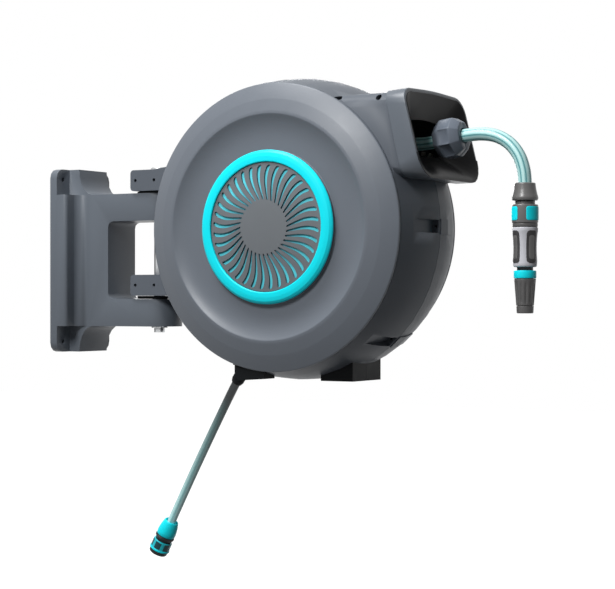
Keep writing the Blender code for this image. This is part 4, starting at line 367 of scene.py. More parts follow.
def smooth_line(points, spacing):
    """Evenly spaced points on a smooth curve through the chosen ones."""
    route = [Vector(point) for point in points]
    ends = [route[0] * 2.0 - route[1]] + route + [route[-1] * 2.0 - route[-2]]
    fine = []
    for a, b, c, d in zip(ends, ends[1:], ends[2:], ends[3:]):
        for k in range(CURVE_STEPS):
            t = k / CURVE_STEPS
            fine.append(0.5 * (2.0 * b + (c - a) * t + (2.0 * a - 5.0 * b + 4.0 * c - d) * t ** 2
                               + (3.0 * b - a - 3.0 * c + d) * t ** 3))
    fine.append(route[-1])
    lengths = [0.0]
    for a, b in zip(fine, fine[1:]):
        lengths.append(lengths[-1] + (b - a).length)
    count = max(2, round(lengths[-1] / spacing))
    result = []
    index = 0
    for k in range(count + 1):
        goal = lengths[-1] * k / count
        while index < len(lengths) - 2 and lengths[index + 1] < goal:
            index += 1
        share = (goal - lengths[index]) / (lengths[index + 1] - lengths[index])
        result.append(fine[index].lerp(fine[index + 1], share))
    return result


def line_length(points):
    """The length of a line through its points."""
    return sum((b - a).length for a, b in zip(points, points[1:]))


# %% [markdown]
# ## Tubes along a line
# A hose is a round tube, and each ring of it stands square to its line. The ring is carried along without
# twist, so that the stripes on the hose run straight. The map that they read is written as the tube grows.

# %% Make a tube along a line
UNLIKE_ANY_HOSE = Vector((0.13, 1.0, 0.21))


def tube(name, points, radius, sides, body, finish, node):
    """A closed round tube along points, with a map that goes once round and along it in metres."""
    bm = bmesh.new()
    uv = bm.loops.layers.uv.new("UVMap")
    across = (points[1] - points[0]).cross(UNLIKE_ANY_HOSE).normalized()
    rings = []
    run = [0.0]
    for k, point in enumerate(points):
        ahead = points[min(k + 1, len(points) - 1)] - points[max(k - 1, 0)]
        ahead.normalize()
        across = (across - ahead * across.dot(ahead)).normalized()
        other = ahead.cross(across)
        if k:
            run.append(run[-1] + (point - points[k - 1]).length)
        rings.append([bm.verts.new(point + (across * math.cos(t) + other * math.sin(t)) * radius)
                      for t in (2.0 * math.pi * i / sides for i in range(sides))])
    for k, (near, far) in enumerate(zip(rings, rings[1:])):
        for i in range(sides):
            j = (i + 1) % sides
            face = bm.faces.new((near[i], near[j], far[j], far[i]))
            face.smooth = True
            spots = ((i, k), (i + 1, k), (i + 1, k + 1), (i, k + 1))
            for loop, (side, row) in zip(face.loops, spots):
                loop[uv].uv = (side / sides, run[row])
    for ring, row in ((rings[0][::-1], 0), (rings[-1], -1)):
        cap = bm.faces.new(ring)
        for loop in cap.loops:
            loop[uv].uv = (0.5, run[row])
    mesh = bpy.data.meshes.new(name)
    bm.to_mesh(mesh)
    bm.free()
    mesh.set_sharp_from_angle(angle=math.radians(50.0))
    piece = bpy.data.objects.new(name, mesh)
    bpy.context.scene.collection.objects.link(piece)
    mesh.materials.append(finish.material)
    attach(piece, body)
    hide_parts(node)
    return piece


# %% [markdown]
# ## The garden hose outside the mouth
# The stop ball clamps the hose at the mouth. From there it rises a little, then its weight pulls it over
# into the nozzle's nut. Its line repeats the points of the solid model, so both lie in the same place.

# %% Lay the garden hose
HOSE_RADIUS = 0.009
HOSE_SIDES = 32
HOSE_ROUTE = (
    (0.4130, 0.0, 0.2004), (0.4450, 0.0, 0.1990), (0.4800, 0.0, 0.1905), (0.5150, 0.0, 0.1765),
    (0.5430, 0.0, 0.1645), (0.5680, 0.0, 0.1570), (0.5930, 0.0, 0.1545), (0.6170, 0.0, 0.1560),
    (0.6420, 0.0, 0.1600), (0.6680, 0.0, 0.1632), (0.6900, 0.0, 0.1637), (0.7110, 0.0, 0.1595),
    (0.7290, 0.0, 0.1490), (0.7420, 0.0, 0.1330), (0.7490, 0.0, 0.1140), (0.7510, 0.0, 0.0960),
    (0.7510, 0.0, 0.0820),
)
EYE_X = 0.5615
STOPPER_X = 0.6420
hose_line = smooth_line(HOSE_ROUTE, RING_SPACING)
to_guide = [p for p in hose_line if p.x <= EYE_X]
to_stopper = [p for p in hose_line if EYE_X < p.x <= STOPPER_X]
outside_start = next(i for i, p in enumerate(hose_line) if p.x > STOPPER_X)
outside = hose_line[outside_start:]
hose_outside = tube("hose_outside", outside, HOSE_RADIUS, HOSE_SIDES, "housing", garden_hose,
                    "hose_tail")
tube("hose_inside_mouth", to_stopper, HOSE_RADIUS, HOSE_SIDES, "housing", garden_hose,
     "hose_to_stopper")
tube("hose_inside_body", to_guide, HOSE_RADIUS, HOSE_SIDES, "housing", garden_hose,
     "hose_to_guide")
print("garden hose outside:", round(line_length(outside), 4))

# %% [markdown]
# ## The supply hose
# A thinner hose brings the tap's water. It leaves the underside near the front cover and hangs towards the
# wall, stiff enough to stay nearly straight.

# %% Lay the supply hose
SUPPLY_RADIUS = 0.006
SUPPLY_Y = -0.0755
SUPPLY_ROUTE = (
    (0.4130, SUPPLY_Y, -0.0010), (0.4125, SUPPLY_Y, -0.0300), (0.4080, SUPPLY_Y, -0.0650),
    (0.3960, SUPPLY_Y, -0.1000), (0.3790, SUPPLY_Y, -0.1290), (0.3620, SUPPLY_Y, -0.1500),
    (0.3500, SUPPLY_Y, -0.1660), (0.3400, SUPPLY_Y, -0.1810), (0.3210, SUPPLY_Y, -0.2140),
    (0.2980, SUPPLY_Y, -0.2550), (0.2760, SUPPLY_Y, -0.2950), (0.2550, SUPPLY_Y, -0.3340),
    (0.2370, SUPPLY_Y, -0.3680), (0.2275, SUPPLY_Y, -0.3860),
)
GLAND_Z = -0.166
supply_line = smooth_line(SUPPLY_ROUTE, RING_SPACING)
supply_split = next(i for i, p in enumerate(supply_line) if p.z <= GLAND_Z)
supply_outside = supply_line[supply_split:]
supply_tube = tube("supply_hose_outside", supply_outside, SUPPLY_RADIUS, 24, "housing", supply_finish,
                   "supply_hose")
tube("supply_hose_within", supply_line[:supply_split], SUPPLY_RADIUS, 24, "housing", supply_finish,
     "supply_hose_inside")
print("supply hose outside:", round(line_length(supply_outside), 4))

# %% [markdown]
# ## The wound hose
# On the drum the hose lies in turns side by side. One long spiral is the outer layer. Below it the other
# layers show only as rounded ridges between the turns, so one ring with a ridged skin stands for them.

# %% Wind the hose on the drum
WINDING_RADIUS = 0.141
WINDING_PITCH = 0.0189
WINDING_TURNS = 5.25
STEPS_PER_TURN = 60


def spiral():
    """The winding's middle line, with a short straight end before and after it."""
    count = round(WINDING_TURNS * STEPS_PER_TURN)
    span = WINDING_PITCH * WINDING_TURNS
    points = []
    for k in range(count + 1):
        turn = 2.0 * math.pi * WINDING_TURNS * k / count
        points.append(REEL + Vector((WINDING_RADIUS * math.cos(turn), -span / 2.0 + span * k / count,
                                     WINDING_RADIUS * math.sin(turn))))
    first = (points[0] - points[1]).normalized() * 2.0 * HOSE_RADIUS
    last = (points[-1] - points[-2]).normalized() * 2.0 * HOSE_RADIUS
    return [points[0] + first] + points + [points[-1] + last]


wound_line = spiral()
tube("hose_outer_layer", wound_line, HOSE_RADIUS, 20, "drum", garden_hose, "wound_hose")
print("hose on the drum:", round(line_length(wound_line), 2))

# %% [markdown]
# ## Drawing an outline point by point
# Covers, rings, nuts and grips are all round, so they are turned from an outline, as on a lathe. An
# outline starts as one point, which is a small plane merged to its centre. The point is then extruded
# from corner to corner.

# %% Draw an outline
def deselect():
    if bpy.context.mode != 'OBJECT':
        bpy.ops.object.mode_set(mode='OBJECT')
    bpy.ops.object.select_all(action='DESELECT')


def outline_piece(name, corners):
    """A mesh in edit mode that is one chain of edges through the corners."""
    deselect()
    bpy.ops.mesh.primitive_plane_add(size=0.01, location=(0.0, 0.0, 0.0))
    piece = bpy.context.object
    piece.name = name
    piece.data.name = name
    bpy.ops.object.mode_set(mode='EDIT')
    bpy.ops.mesh.select_all(action='SELECT')
    bpy.ops.mesh.merge(type='CENTER')
    here = Vector((0.0, 0.0, 0.0))
    for k, corner in enumerate(corners):
        there = Vector(corner)
        if k == 0:
            bpy.ops.transform.translate(value=there)
        else:
            bpy.ops.mesh.extrude_region_move(TRANSFORM_OT_translate={"value": there - here})
        here = there
    return piece


def close_outline(piece):
    """Join the last corner of an outline to the first."""
    bm = bmesh.from_edit_mesh(piece.data)
    loose = [vert for vert in bm.verts if len(vert.link_edges) == 1]
    bm.edges.new(loose)
    bmesh.update_edit_mesh(piece.data)


# %% [markdown]
# ## Putting a piece in its place
# A finished object sits at the origin and carries its place in its mesh. So a piece that was made upright
# on the Z axis is turned to its own direction and moved as a mesh. Then it is shaded smooth by angle, gets
# its finish, and rides on its body.

# %% Place and finish a piece
def stand(piece, place, direction):
    """Turn a mesh from the Z axis to a direction and move it to a place."""
    turn = Z_AXIS.rotation_difference(Vector(direction)).to_matrix().to_4x4()
    piece.data.transform(Matrix.Translation(Vector(place)) @ turn)


def finished(piece, body, finish, smooth=40.0):
    """Shade, paint and mount a piece whose place is in its mesh."""
    deselect()
    piece.select_set(True)
    bpy.context.view_layer.objects.active = piece
    bpy.ops.object.shade_smooth_by_angle(angle=math.radians(smooth))
    piece.data.materials.clear()
    piece.data.materials.append(finish.material)
    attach(piece, body)
    piece.select_set(False)


# %% [markdown]
# ## Turning an outline
# The corners of the outline are rounded with a vertex bevel, and the spin operator turns it once round its
# axis. A ring's outline is closed first. One that starts and ends on the axis stays open, and its two ends
# are left out of the bevel.

# %% Make the lathe
def deselect_axis(piece):
    """Leave the points on the axis out of the bevel."""
    bm = bmesh.from_edit_mesh(piece.data)
    for vert in bm.verts:
        if len(vert.link_edges) == 1:
            vert.select_set(False)
    bm.select_flush_mode()
    bmesh.update_edit_mesh(piece.data)


def lathe(name, profile, steps, body, finish, place, direction, round_off=0.0, segments=3,
          smooth=40.0, is_ring=True, node=None):
    """Spin a profile of (radius, distance along the axis) into a closed piece."""
    piece = outline_piece(name, [(radius, 0.0, along) for radius, along in profile])
    if is_ring:
        close_outline(piece)
    if round_off:
        bpy.ops.mesh.select_all(action='SELECT')
        if not is_ring:
            deselect_axis(piece)
        bpy.ops.mesh.bevel(offset=round_off, offset_type='OFFSET', segments=segments, affect='VERTICES',
                           clamp_overlap=True)
    bpy.ops.mesh.select_all(action='SELECT')
    bpy.ops.mesh.spin(steps=steps, angle=2.0 * math.pi, center=(0.0, 0.0, 0.0), axis=(0.0, 0.0, 1.0))
    bpy.ops.mesh.select_all(action='SELECT')
    bpy.ops.mesh.remove_doubles(threshold=0.000005)
    bpy.ops.mesh.select_all(action='SELECT')
    bpy.ops.mesh.normals_make_consistent(inside=False)
    bpy.ops.object.mode_set(mode='OBJECT')
    stand(piece, place, direction)
    finished(piece, body, finish, smooth)
    if node:
        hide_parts(node)
    return piece


# %% [markdown]
# ## The inner layers of hose
# Under the spiral lies one ring with six rounded ridges, about as far apart as the spiral's turns.

# %% Turn the inner layers
LAYER_INNER = 0.0753
LAYER_OUTER = 0.1255
LAYER_HALF_WIDTH = 0.0597
RIDGES = 6
RIDGE_HEIGHT = 0.0048


def ridged_profile():
    """A ring's outline whose outside rises and falls once for each ridge."""
    points = [(LAYER_INNER, -LAYER_HALF_WIDTH)]
    for k in range(RIDGES):
        for t in (0.0, 0.2, 0.5, 0.8):
            y = -LAYER_HALF_WIDTH + 2.0 * LAYER_HALF_WIDTH * (k + t) / RIDGES
            points.append((LAYER_OUTER + RIDGE_HEIGHT * math.sin(math.pi * t), y))
    return points + [(LAYER_OUTER, LAYER_HALF_WIDTH), (LAYER_INNER, LAYER_HALF_WIDTH)]


layers = lathe("hose_inner_layers", ridged_profile(), 72, "drum", garden_hose, REEL, REAR,
               smooth=60.0, node="inner_hose_layers")
print("faces of the inner layers:", len(layers.data.polygons))

# %% [markdown]
# ## Side covers
# Each side cover is one moulding: a chamfered rim, a flatter band, a soft lip, and a bowl. The bowl falls
# steeply from the lip and runs out nearly level to the step under the ring. The light runs round these
# curves, so their corners are rounded and the profile is turned in 160 steps.

# %% Turn the covers
ROUND_STEPS = 160
RING_OUTER = 0.1067
SEAT = 0.0172


def bowl(start, end, count, lowest):
    """Points of a shallow bowl: steep at its start, and level at the share called lowest."""
    whole = 1.0 - (1.0 + 1.0 / lowest) / 2.0 + 1.0 / (3.0 * lowest)
    points = []
    for k in range(1, count):
        share = k / count
        radius = start[0] + (end[0] - start[0]) * share
        fallen = share - (1.0 + 1.0 / lowest) * share ** 2 / 2.0 + share ** 3 / (3.0 * lowest)
        points.append((radius, start[1] + (end[1] - start[1]) * fallen / whole))
    return points


def cover_profile(rim):
    """The cover's outline: over its outside, under the ring, and back along its inside."""
    lip = (0.1560, 0.0194)
    foot = (RING_OUTER - 0.0012, SEAT - 0.0060)
    outside = [(rim - 0.0005, 0.0003), (rim, 0.0030), (rim - 0.0010, 0.0046), (0.1765, 0.0140),
               (0.1600, 0.0188), lip]
    under_ring = [foot, (RING_OUTER - 0.0012, SEAT), (0.0845, SEAT), (0.0845, 0.0144),
                  (RING_OUTER - 0.0060, 0.0100), (RING_OUTER + 0.0020, 0.0090)]
    inside = [(0.1250, 0.0086), (0.1400, 0.0092), (0.1480, 0.0108), (0.1530, 0.0130), (0.1555, 0.0140),
              (rim - 0.0028, 0.0010)]
    return outside + bowl(lip, foot, 16, 0.7) + under_ring + inside


for side, name, rim in ((FRONT, "front", 0.200), (REAR, "rear", 0.189)):
    lathe(name + "_cover_smooth", cover_profile(rim), ROUND_STEPS, "housing", cover_plastic,
          REEL + side * HALF_WIDTH, side, round_off=0.0009, segments=3, smooth=50.0, node=name + "_cover")
    print(name, "cover across:", 2.0 * rim)

# %% [markdown]
# ## Trim rings and the centre
# The bright ring frames the centre on both sides. At the front a slotted grille lets a coloured dish show
# through; at the rear a plain cap closes the same hole.

# %% Turn the rings and the cap
RING_INNER = 0.0895
RING_EDGE = RING_OUTER - 0.0005
FACE_FLAT = 0.035
FACE_OUTER = 0.0892
FACE_HEIGHTS = (0.0258, 0.0206)
RING_PROFILE = ((RING_EDGE, SEAT - 0.0008), (RING_EDGE, SEAT + 0.0008), (RING_EDGE - 0.0010, SEAT + 0.0022),
                (RING_EDGE - 0.0040, SEAT + 0.0046), (RING_INNER + 0.0075, SEAT + 0.0055),
                (RING_INNER + 0.0012, SEAT + 0.0058), (RING_INNER, SEAT + 0.0050),
                (RING_INNER, SEAT + 0.0003), (RING_EDGE - 0.0004, SEAT + 0.0003),
                (RING_EDGE - 0.0004, SEAT - 0.0008))
for side, name in ((FRONT, "front"), (REAR, "rear")):
    lathe(name + "_ring_smooth", RING_PROFILE, ROUND_STEPS, "housing", cyan_plastic,
          REEL + side * HALF_WIDTH, side, round_off=0.0005, segments=3, smooth=45.0,
          node=name + "_trim_ring")

CAP_PROFILE = ((0.0, FACE_HEIGHTS[0]), (FACE_FLAT, FACE_HEIGHTS[0]), (0.0885, FACE_HEIGHTS[1]),
               (FACE_OUTER, 0.0200), (FACE_OUTER, 0.0175), (0.0852, 0.0175), (FACE_FLAT, 0.0232),
               (0.0, 0.0232))
lathe("rear_cap_smooth", CAP_PROFILE, ROUND_STEPS, "housing", grille_plastic,
      REEL + REAR * HALF_WIDTH, REAR, round_off=0.0008, segments=2, is_ring=False, node="rear_cap")
DISH_PROFILE = ((0.0, 0.0229), (FACE_FLAT, 0.0229), (0.0838, 0.0173), (0.0838, 0.0141), (0.0885, 0.0141),
                (0.0885, 0.0127), (0.0810, 0.0127), (FACE_FLAT, 0.0203), (0.0, 0.0203))
lathe("grille_dish", DISH_PROFILE, 128, "housing", cyan_dish,
      REEL + FRONT * HALF_WIDTH, FRONT, is_ring=False, node="front_grille_backing")
print("ring from", RING_INNER, "to", round(RING_EDGE, 4))

# %% [markdown]
# ## The slots as solids
# The grille has 36 slots that widen outwards along a bowed line and end round. One slot is made from a grid
# whose cuts crowd towards its ends and are moved onto the bowed line. The spin operator copies it round.

# %% Shape the slots
SLOT_COUNT = 36
SLOT_START = 0.0370
SLOT_END = 0.0856
SLOT_SWEEP = 5.4
SLOT_BEND = 5.2
SLOT_WIDTH = 0.0025
SLOT_WIDENING = 0.0037
SLOT_CUTS = 26
CUT_CROWDING = 0.72


def slot_point(share, across, clearance):
    """A place on a slot: share along it, and across it from one side to the other."""
    radius = SLOT_START + (SLOT_END - SLOT_START) * share
    turn = math.radians(SLOT_SWEEP * share + SLOT_BEND * 4.0 * share * (1.0 - share))
    end = max(0.0, (share - 0.93) / 0.07, (0.04 - share) / 0.04)
    rounding = math.sqrt(max(0.0, 1.0 - 0.97 * end ** 2))
    width = (SLOT_WIDTH + SLOT_WIDENING * share) * rounding - clearance
    swing = turn + across * max(0.0002, width) / 2.0 / radius
    return radius * math.cos(swing), radius * math.sin(swing)


def slot_shapes(name, top_drop, floor_height, clearance):
    """Solids in the shape of all the slots, from a floor to a drop below the grille's face."""
    deselect()
    bpy.ops.mesh.primitive_grid_add(x_subdivisions=SLOT_CUTS, y_subdivisions=1, size=1.0,
                                    location=(0.0, 0.0, 0.0))
    piece = bpy.context.object
    piece.name = name
    piece.data.name = name
    bpy.ops.object.mode_set(mode='EDIT')
    bpy.ops.mesh.select_all(action='SELECT')
    bpy.ops.mesh.extrude_region_move(TRANSFORM_OT_translate={"value": (0.0, 0.0, 1.0)})
    bpy.ops.mesh.select_all(action='SELECT')
    bpy.ops.mesh.normals_make_consistent(inside=False)
    bm = bmesh.from_edit_mesh(piece.data)
    for vert in bm.verts:
        even = vert.co.x + 0.5
        share = even - CUT_CROWDING * math.sin(2.0 * math.pi * even) / (2.0 * math.pi)
        x, y = slot_point(share, vert.co.y * 2.0, clearance)
        reach = (math.hypot(x, y) - FACE_FLAT) / (FACE_OUTER - FACE_FLAT)
        face = FACE_HEIGHTS[0] + (FACE_HEIGHTS[1] - FACE_HEIGHTS[0]) * reach
        vert.co = (x, y, face - top_drop if vert.co.z > 0.5 else floor_height)
    bmesh.update_edit_mesh(piece.data)
    bpy.ops.mesh.spin(steps=SLOT_COUNT, dupli=True, angle=2.0 * math.pi, center=(0.0, 0.0, 0.0),
                      axis=(0.0, 0.0, 1.0))
    bpy.ops.mesh.select_all(action='SELECT')
    bpy.ops.mesh.remove_doubles(threshold=0.000005)
    bpy.ops.mesh.normals_make_consistent(inside=False)
    bpy.ops.object.mode_set(mode='OBJECT')
    stand(piece, REEL + FRONT * HALF_WIDTH, FRONT)
    return piece


# %% [markdown]
# ## The grille and the bars in its slots
# A Boolean modifier cuts all the slots out of a turned disc, which is a shallow cone. The bright bars that
# lie in the slots are the same shape, a little narrower and lower, so each keeps a dark edge of shadow.

# %% Cut the grille and raise the bars
def cut_away(piece, cutter):
    """Subtract the cutter from the piece and throw the cutter away."""
    deselect()
    piece.select_set(True)
    bpy.context.view_layer.objects.active = piece
    cut = piece.modifiers.new("cut", 'BOOLEAN')
    cut.operation = 'DIFFERENCE'
    cut.solver = 'EXACT'
    cut.object = cutter
    bpy.ops.object.modifier_apply(modifier="cut")
    bpy.data.objects.remove(cutter)


GRILLE_PROFILE = ((0.0, FACE_HEIGHTS[0]), (FACE_FLAT, FACE_HEIGHTS[0]), (0.0885, FACE_HEIGHTS[1] + 0.0001),
                  (FACE_OUTER, 0.0200), (FACE_OUTER, 0.0175), (0.0866, 0.0175), (FACE_FLAT, 0.0232),
                  (0.0, 0.0232))
grille = lathe("grille_smooth", GRILLE_PROFILE, 144, "housing", grille_plastic,
               REEL + FRONT * HALF_WIDTH, FRONT, is_ring=False)
cut_away(grille, slot_shapes("slot_cutter", -0.0020, 0.0150, 0.0))
finished(grille, "housing", grille_plastic, 30.0)
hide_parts("front_grille")
bars = slot_shapes("grille_bars", 0.0026, 0.0160, 0.0003)
finished(bars, "housing", cyan_dish, 30.0)
print("slots:", SLOT_COUNT, "faces of the grille:", len(grille.data.polygons))

# %% [markdown]
# ## Smooth copies of the solids
# The solids come as plain facets. A copy of each is cleaned up: doubles merged, flat faces joined, hard
# edges rounded with a bevel where light should catch them, and the rest shaded smooth by angle. The copy
# then stands in for its solid.

# %% Copy and refine the solids
def merged_copy(node, name):
    """A copy of a solid with its doubles merged, in edit mode."""
    deselect()
    source = frame["nodes"][node]
    mesh = source.data.copy()
    mesh.transform(source.matrix_world)
    piece = bpy.data.objects.new(name, mesh)
    mesh.name = name
    bpy.context.scene.collection.objects.link(piece)
    piece.select_set(True)
    bpy.context.view_layer.objects.active = piece
    bpy.ops.object.mode_set(mode='EDIT')
    bpy.ops.mesh.select_all(action='SELECT')
    bpy.ops.mesh.remove_doubles(threshold=0.000003)
    return piece


def refined(node, finish, width=0.0, smooth=32.0):
    """A smooth copy of a solid, with its hard edges rounded by a width."""
    piece = merged_copy(node, node + "_refined")
    bpy.ops.mesh.dissolve_limited(angle_limit=math.radians(0.4))
    bpy.ops.mesh.normals_make_consistent(inside=False)
    bpy.ops.object.mode_set(mode='OBJECT')
    if width:
        bevel = piece.modifiers.new("rounding", 'BEVEL')
        bevel.width = width
        bevel.segments = 3
        bevel.limit_method = 'ANGLE'
        bevel.angle_limit = math.radians(smooth)
        bevel.use_clamp_overlap = True
        bpy.ops.object.modifier_apply(modifier="rounding")
    source = frame["nodes"][node]
    body = source.parent.name.split(":")[1]
    finished(piece, body, finish, smooth)
    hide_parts(node)
    return piece


FINISHES = {
    body_plastic: ("wall_bracket", "mouth_frame"),
    shell_plastic: ("front_shell", "rear_shell"),
    stopper_plastic: ("stopper_front_half", "stopper_rear_half"),
    dark_plastic: ("inlet_elbow", "drum_core", "drum_front_flange"),
    pin_steel: ("pivot_pin", "pin_clip"),
    shaft_steel: ("spring_lid", "main_spring", "idler_pin", "ratchet_wheel", "ratchet_pawl", "pawl_pin",
                  "cross_screw", "guide_rod"),
    axle_brass: ("fixed_axle", "rotary_union"),
    bearing_plastic: ("upper_bush", "lower_bush", "front_drum_bush", "rear_drum_bush", "drum_gear",
                      "idler_gear", "cross_screw_gear", "guide_carriage"),
}
EDGE_WIDTHS = {"wall_bracket": 0.0016, "mouth_frame": 0.0014, "stopper_front_half": 0.0012,
               "stopper_rear_half": 0.0012, "pivot_pin": 0.0003, "guide_carriage": 0.0004}
for finish, names in FINISHES.items():
    for name in names:
        refined(name, finish, EDGE_WIDTHS.get(name, 0.0))
print("refined solids:", sum(len(names) for names in FINISHES.values()))

# %% [markdown]
# ## The corner at the hose's inlet
# The block under the body, where the supply hose comes out, is cut upright and chamfered towards the hose.
# The cutter is an outline that is closed, filled and extruded along the reel's width.

# %% Cut the corner at the inlet
CORNER_OUTLINE = ((0.3200, -0.1540), (0.3492, -0.1540), (0.3492, -0.1648), (0.3550, -0.1725),
                  (0.3550, -0.1800), (0.3200, -0.1800))
CORNER_FRONT = -0.0930
CORNER_LENGTH = 0.0350
CORNER_RISE = 0.0042
TOUCH = 0.001


def corner_cutter():
    """A prism along the reel's width, whose upper edge rises towards the front."""
    piece = outline_piece("corner_cutter", [(x, CORNER_FRONT, z) for x, z in CORNER_OUTLINE])
    close_outline(piece)
    bpy.ops.mesh.select_all(action='SELECT')
    bpy.ops.mesh.edge_face_add()
    bpy.ops.mesh.extrude_region_move(TRANSFORM_OT_translate={"value": (0.0, CORNER_LENGTH, 0.0)})
    bpy.ops.mesh.select_all(action='SELECT')
    bpy.ops.mesh.normals_make_consistent(inside=False)
    bpy.ops.object.mode_set(mode='OBJECT')
    for vert in piece.data.vertices:
        at_top = vert.co.z > CORNER_OUTLINE[0][1] - TOUCH
        at_front = vert.co.y < CORNER_FRONT + TOUCH
        if at_top and at_front:
            vert.co.z += CORNER_RISE
    return piece


front_shell = bpy.data.objects["front_shell_refined"]
cut_away(front_shell, corner_cutter())
print("faces of the front shell:", len(front_shell.data.polygons))

# %% [markdown]
# ## The supply hose's gland
# A short dark sleeve holds the supply hose where it leaves the block. It leans with the hose, so its axis
# is taken from two neighbouring points of the hose's line.

# %% Turn the gland
GLAND_PROFILE = ((0.0062, -0.0060), (0.0090, -0.0060), (0.0090, 0.0040), (0.0084, 0.0058), (0.0072, 0.0090),
                 (0.0062, 0.0092))
GLAND_MIDDLE_Z = -0.1680
gland_place = next(p for p in supply_line if p.z <= GLAND_MIDDLE_Z)
gland_after = supply_line[supply_line.index(gland_place) + 1]
lathe("supply_gland_smooth", GLAND_PROFILE, 48, "housing", foot_plastic, gland_place,
      (gland_after - gland_place).normalized(), round_off=0.0004, segments=2, node="supply_hose_gland")
print("gland at height:", round(gland_place.z, 4))

# %% [markdown]
# ## Near-black undersides of the feet
# On the two feet under the reel, the undersides and the lower sides are near black. They are part of the
# shells, so the shells' copies get a second material, which is given to these faces, found by their place.

# %% Darken the feet
BLOCK_SPAN = (0.3300, 0.4000)
BLOCK_BACK = -0.0615
BLOCK_FRONT = -0.0899
BLOCK_LOW = -0.1660
FOOT_SPAN = (0.4590, 0.5120)
FOOT_HALF_WIDTH = 0.0405
FOOT_LOW = -0.1700
SIDES_TOP = -0.1535


def on_foot(face):
    """Whether a face of a shell is an underside or an upright side of the inlet block or the foot."""
    place = face.center
    block = BLOCK_SPAN[0] < place.x < BLOCK_SPAN[1] and place.y < BLOCK_BACK
    foot = FOOT_SPAN[0] < place.x < FOOT_SPAN[1] and abs(place.y) < FOOT_HALF_WIDTH
    upright = abs(face.normal.z) < 0.3 or abs(face.normal.y) > 0.9
    side = upright and place.z < SIDES_TOP
    return (block and (place.z < BLOCK_LOW or (side and place.y > BLOCK_FRONT))
            or foot and (place.z < FOOT_LOW or side))


for name in ("front_shell_refined", "rear_shell_refined"):
    shell = bpy.data.objects[name]
    finished(shell, "housing", shell_plastic, 32.0)
    shell.data.materials.append(foot_plastic.material)
    dark = 0
    for face in shell.data.polygons:
        face.material_index = 1 if on_foot(face) else 0
        dark += face.material_index
    print(name, "dark faces:", dark)

# %% [markdown]
# ## Dark rings at the hinge
# Between each lug of the body and the bracket's beam below it lies a flat dark ring. It is painted shadow:
# a dark sheet that fills the shaded gap. It lies on the beam and ends just under the lug, as the bush's
# own rim does.

# %% Turn the rings of painted shadow
PIN_X = 0.156
SHADOW_RING_INNER = 0.0186
SHADOW_RING_OUTER = 0.0330
SHADOW_RING_GAP = 0.0003
BEAM_TOPS = (("upper", 0.0990), ("lower", -0.0583))
for name, beam_top in BEAM_TOPS:
    under_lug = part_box(name + "_bush")[1].z
    on_beam = beam_top + SHADOW_RING_GAP
    shadow_ring_profile = ((SHADOW_RING_INNER, on_beam), (SHADOW_RING_OUTER, on_beam), (SHADOW_RING_OUTER, under_lug),
                    (SHADOW_RING_INNER, under_lug))
    # Painted shadow: a near-black ring fills the gap under the lug, where the shadow falls.
    lathe(name + "_dust_seal", shadow_ring_profile, 64, "bracket", foot_plastic, (PIN_X, 0.0, 0.0),
          Z_AXIS, round_off=0.0004, segments=2)
    print(name, "seal under the lug at:", round(under_lug, 4))

# %% [markdown]
# ## The shade in the mouth
# Inside the collar, the shade that funnels down to the throat is painted as a near-black skin. It is the
# collar's own inner skin: the copy keeps only the faces that look at the mouth's middle, and a thin solid
# is made of them.

# %% Paint the shade in the mouth
MOUTH_MIDDLE = Vector((0.62, 0.0, 0.160))
SHADE_SKIN_THICKNESS = 0.0006


def mouth_lining():
    """The skin of the collar that faces the mouth's middle, as a thin solid that carries the painted shade.
    """
    piece = merged_copy("mouth_frame", "mouth_lining")
    bpy.ops.mesh.normals_make_consistent(inside=False)
    bpy.ops.mesh.select_all(action='DESELECT')
    bm = bmesh.from_edit_mesh(piece.data)
    for face in bm.faces:
        middle = face.calc_center_median()
        across_mouth = Vector((0.0, MOUTH_MIDDLE.y - middle.y, MOUTH_MIDDLE.z - middle.z))
        inward = face.normal.dot(across_mouth)
        face.select_set(not (inward > 0.002 and face.normal.x > -0.1))
    bmesh.update_edit_mesh(piece.data)
    bpy.ops.mesh.delete(type='FACE')
    bpy.ops.object.mode_set(mode='OBJECT')
    skin = piece.modifiers.new("skin", 'SOLIDIFY')
    skin.thickness = SHADE_SKIN_THICKNESS
    skin.offset = 1.0
    bpy.ops.object.modifier_apply(modifier="skin")
    # Painted shade: the skin is near black, for the shade in the funnel.
    finished(piece, "housing", throat_plastic, 40.0)
    return piece


shade_skin = mouth_lining()
print("lining faces:", len(shade_skin.data.polygons))

# %% [markdown]
# ## Pads wrapped round a barrel
# The quick connector has coloured finger pads and the nozzle has soft grip panels. Each is a flat
# rounded plate first: a plane whose corners are bevelled, cut into strips with bisect, extruded and
# softened at its edge. Then its width is wrapped round the axis, so its corners stay round on the curve.

